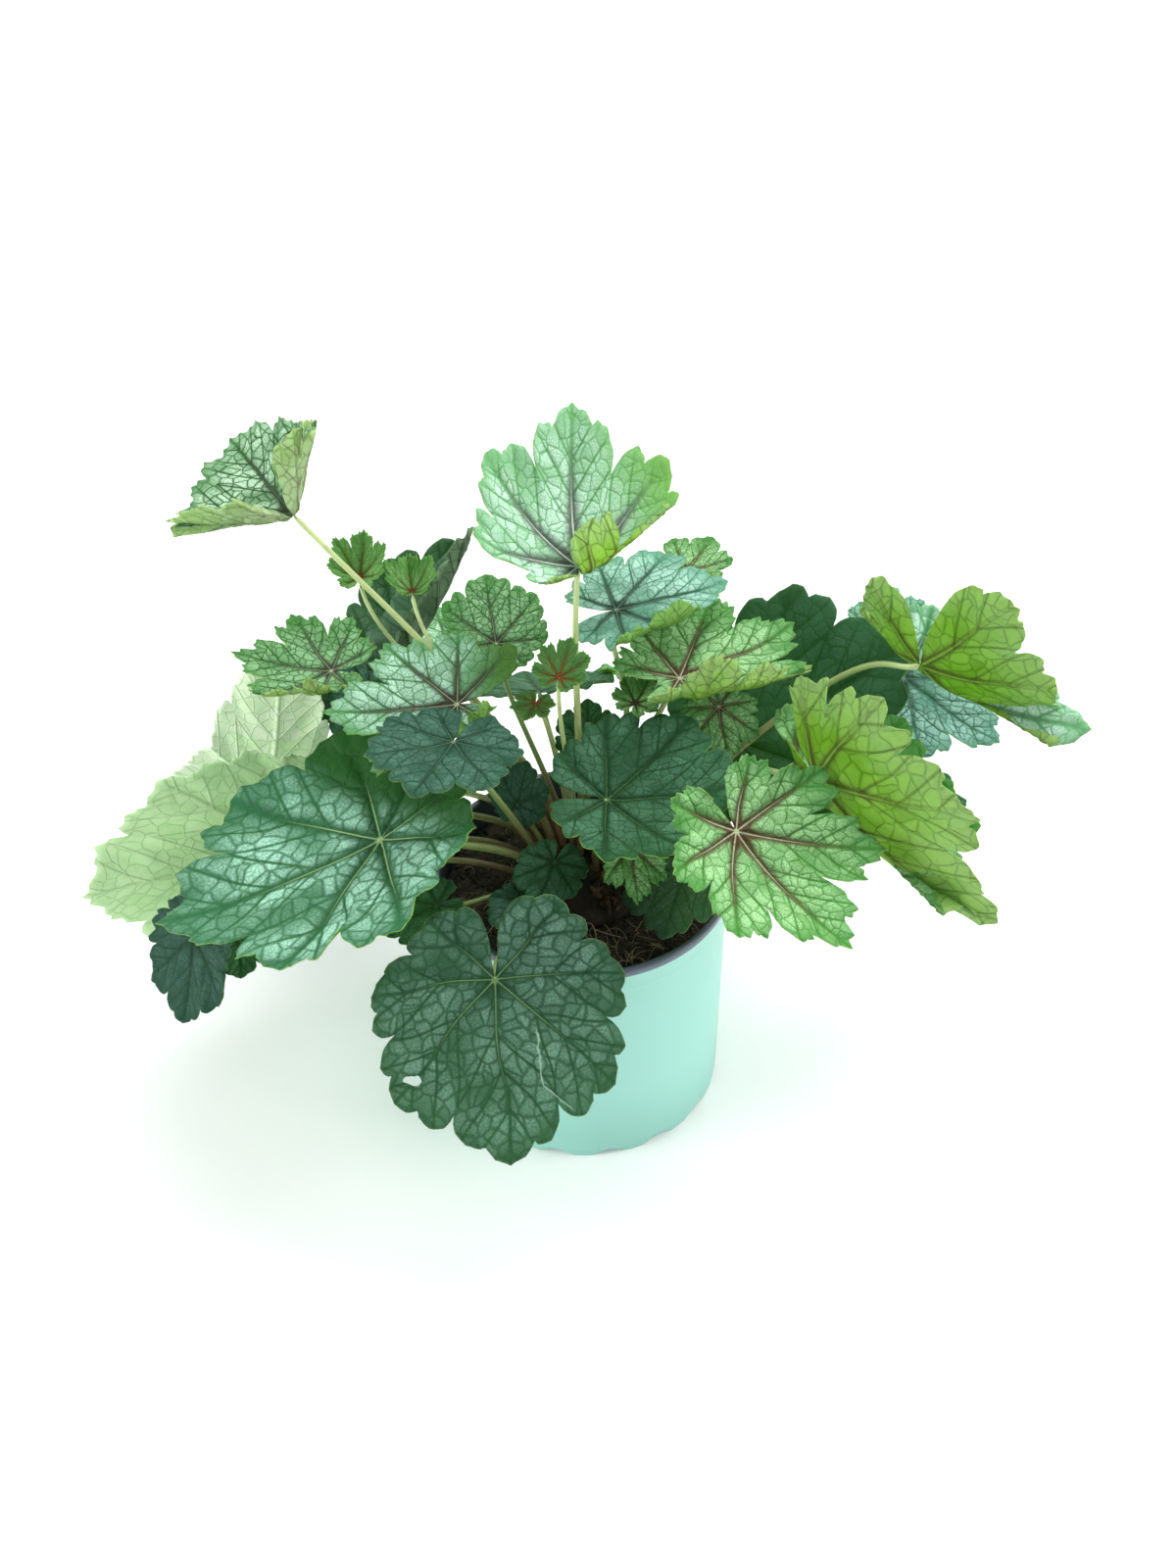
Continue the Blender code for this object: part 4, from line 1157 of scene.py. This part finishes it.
grow(
    Leaf("leaf_middle_small", "round", 20, (-28, 4, 153), heading=60, dip=-60, ring=14),
    blue_face, dull_back, green_stalk,
)
grow(
    Leaf("leaf_middle_right", "round", 55, (10, -12, 171), heading=0, dip=5, ring=8, roll=10, cup=0.35),
    dark_face, grass_back, green_stalk,
)

# ---------------------------------------------------------------------------------------------------
# Leaves of the front. An old dark leaf hangs over the rim with a bite taken out and a painted highlight
# along a crease across it, and small ones fill the gap between it and the rootstock.
# ---------------------------------------------------------------------------------------------------
# The bite is its middle, half its length, half its width and its turn.
BITE = (0.535, -0.505, 0.062, 0.024, 1.35)
bitten_face = blade_face(
    "bitten_face", ground=(0.015, 0.064, 0.032), patch=(0.23, 0.43, 0.32), cover=0.85,
    halo=(0.014, 0.05, 0.03), halo_share=0.35, core=(0.2, 0.36, 0.14), tip=(0.024, 0.095, 0.042),
    relief=1.1, thread=0.2, band=0.02, mesh=0.19, rib_width=0.007, hole=BITE,
)
bitten_back = blade_back("bitten_back", **DULL, hole=BITE)

grow(
    Leaf("leaf_front_hanging", "round", 71, (-36, -78, 131), heading=-85, dip=62, ring=25, roll=-5,
         cup=0.3, lobes=(0.55, 0.72, 0.87, 1.0, 0.87, 0.72, 0.6)),
    bitten_face, bitten_back, green_stalk,
)
grow(
    Leaf("leaf_front_small", "young", 24, (20, -27, 159), heading=-85, dip=45, ring=14, roll=-30),
    lime_face, grass_back, green_stalk,
)
grow(
    Leaf("leaf_front_right_dark", "round", 38, (44, -15, 141), heading=-105, dip=30, ring=22, roll=20),
    haze_face, dull_back, green_stalk,
)
grow(
    Leaf("leaf_front_left_dark", "round", 26, (-62, -35, 131), heading=200, dip=20, ring=25),
    dark_face, dull_back, green_stalk,
)
grow(
    Leaf("leaf_front_low", "round", 22, (-24, -37, 136), heading=265, dip=10, ring=22),
    blue_face, dull_back, green_stalk,
)
grow(
    Leaf("leaf_front_inner", "round", 22, (-12, -26, 148), heading=250, dip=20, ring=18),
    dark_face, dull_back, green_stalk,
)

# ---------------------------------------------------------------------------------------------------
# Leaves of the right side. Lime leaves, one face up and two with the veined underside turned out, reach
# far over the rim on long stalks; a silvery one and a large mossy one stand behind them.
# ---------------------------------------------------------------------------------------------------
PLUM_GREY = (0.060, 0.066, 0.070)
mint_face = blade_face(
    "mint_face", ground=(0.15, 0.42, 0.19), patch=(0.74, 1.0, 0.86), cover=1.25, halo=PLUM_GREY,
    halo_share=0.75, core=WHITE_RIB, tip=(0.24, 0.58, 0.3), rib_width=0.008,
)
silver_face = blade_face(
    "silver_face", ground=(0.035, 0.12, 0.085), patch=(0.34, 0.6, 0.52), cover=1.1,
    halo=(0.02, 0.055, 0.05), halo_share=0.6, core=(0.12, 0.24, 0.16), tip=(0.09, 0.26, 0.19),
    thread=0.6, mesh=0.15,
)
moss_face = blade_face(
    "moss_face", ground=(0.018, 0.08, 0.026), patch=(0.07, 0.19, 0.12), cover=0.8,
    halo=(0.015, 0.055, 0.025), halo_share=0.4, core=(0.09, 0.17, 0.07), tip=(0.024, 0.1, 0.04),
    relief=0.5,
)

grow(
    Leaf("leaf_right_lime", "jagged", 60, (63, -38, 177), heading=-45, dip=40, ring=14, roll=5, cup=0.45,
         lobes=(0.55, 0.68, 0.78, 1.0, 0.9, 0.7, 0.5)),
    lime_face, lime_back, pale_stalk,
)
grow(
    Leaf("leaf_right_pale", "sharp", 88, (98, -5, 176), heading=-52, dip=26, ring=20, roll=-84, cup=0.3,
         curls=((90, 0.08, 100, 0.08),), bow=(0, 20, 0)),
    lime_face, lime_back, pale_stalk,
)
grow(
    Leaf("leaf_right_high_pale", "sharp", 74, (142, 30, 209), heading=37, dip=80, ring=20, roll=-16,
         cup=0.3, curls=((25, 0.03, 110, 0.06),), bow=(24, 35, 0),
         lobes=(0.76, 0.76, 1.0, 0.5, 0.45, 0.5, 0.55)),
    mint_face, lime_back, pale_stalk,
)
grow(
    Leaf("leaf_right_silver", "sharp", 50, (142, 77, 163), heading=-35, dip=22, ring=22, bow=(0, 0, -15)),
    silver_face, grass_back, green_stalk,
)
grow(
    Leaf("leaf_right_dark", "round", 84, (69, 45, 152), heading=8, dip=-29, ring=18, roll=26, cup=0.15,
         lobes=(0.4, 0.6, 0.9, 1.0, 0.85, 0.6, 0.4)),
    moss_face, dull_back, green_stalk,
)
grow(
    Leaf("leaf_right_under", "sharp", 24, (58, 35, 182), heading=-80, dip=40, ring=14),
    lime_face, grass_back, green_stalk,
)

# ---------------------------------------------------------------------------------------------------
# Leaves of the back. The same kinds again, plainer and lower, bent outwards on short stalks so that they
# cover the far side of the pot.
# ---------------------------------------------------------------------------------------------------
patched_face = blade_face(
    "patched_face", ground=(0.045, 0.17, 0.05), patch=(0.64, 1.0, 0.7), cover=0.95, halo=PLUM_GREY,
    halo_share=0.85, core=CREAM_RIB, tip=(0.1, 0.33, 0.1),
)
grey_face = blade_face(
    "grey_face", ground=(0.013, 0.058, 0.028), patch=(0.28, 0.5, 0.4), cover=0.8,
    halo=(0.014, 0.05, 0.03), halo_share=0.35, core=(0.2, 0.36, 0.14), tip=(0.022, 0.09, 0.038),
    relief=1.0, thread=0.35, mesh=0.12,
)

grow(
    Leaf("leaf_back_1", "round", 50, (-20, 95, 140), heading=100, dip=35, ring=20),
    dark_face, dull_back, green_stalk,
)
grow(
    Leaf("leaf_back_2", "sharp", 52, (40, 100, 135), heading=65, dip=40, ring=20),
    lime_face, grass_back, green_stalk,
)
grow(
    Leaf("leaf_back_3", "sharp", 44, (-60, 130, 130), heading=105, dip=10, ring=20),
    patched_face, grass_back, green_stalk,
)
grow(
    Leaf("leaf_back_4", "sharp", 28, (141, 114, 153), heading=100, dip=-30, ring=22),
    teal_face, grass_back, green_stalk,
)
grow(
    Leaf("leaf_back_5", "round", 48, (-107, 97, 91), heading=155, dip=40, ring=24),
    grey_face, dull_back, green_stalk,
)
grow(
    Leaf("leaf_back_6", "round", 48, (131, 50, 124), heading=15, dip=30, ring=24),
    dark_face, dull_back, green_stalk,
)
grow(
    Leaf("leaf_back_7", "round", 34, (-70, 82, 119), heading=138, dip=45, ring=25),
    blue_face, dull_back, green_stalk,
)
grow(
    Leaf("leaf_back_8", "round", 38, (65, 70, 124), heading=55, dip=50, ring=25),
    dark_face, dull_back, green_stalk,
)
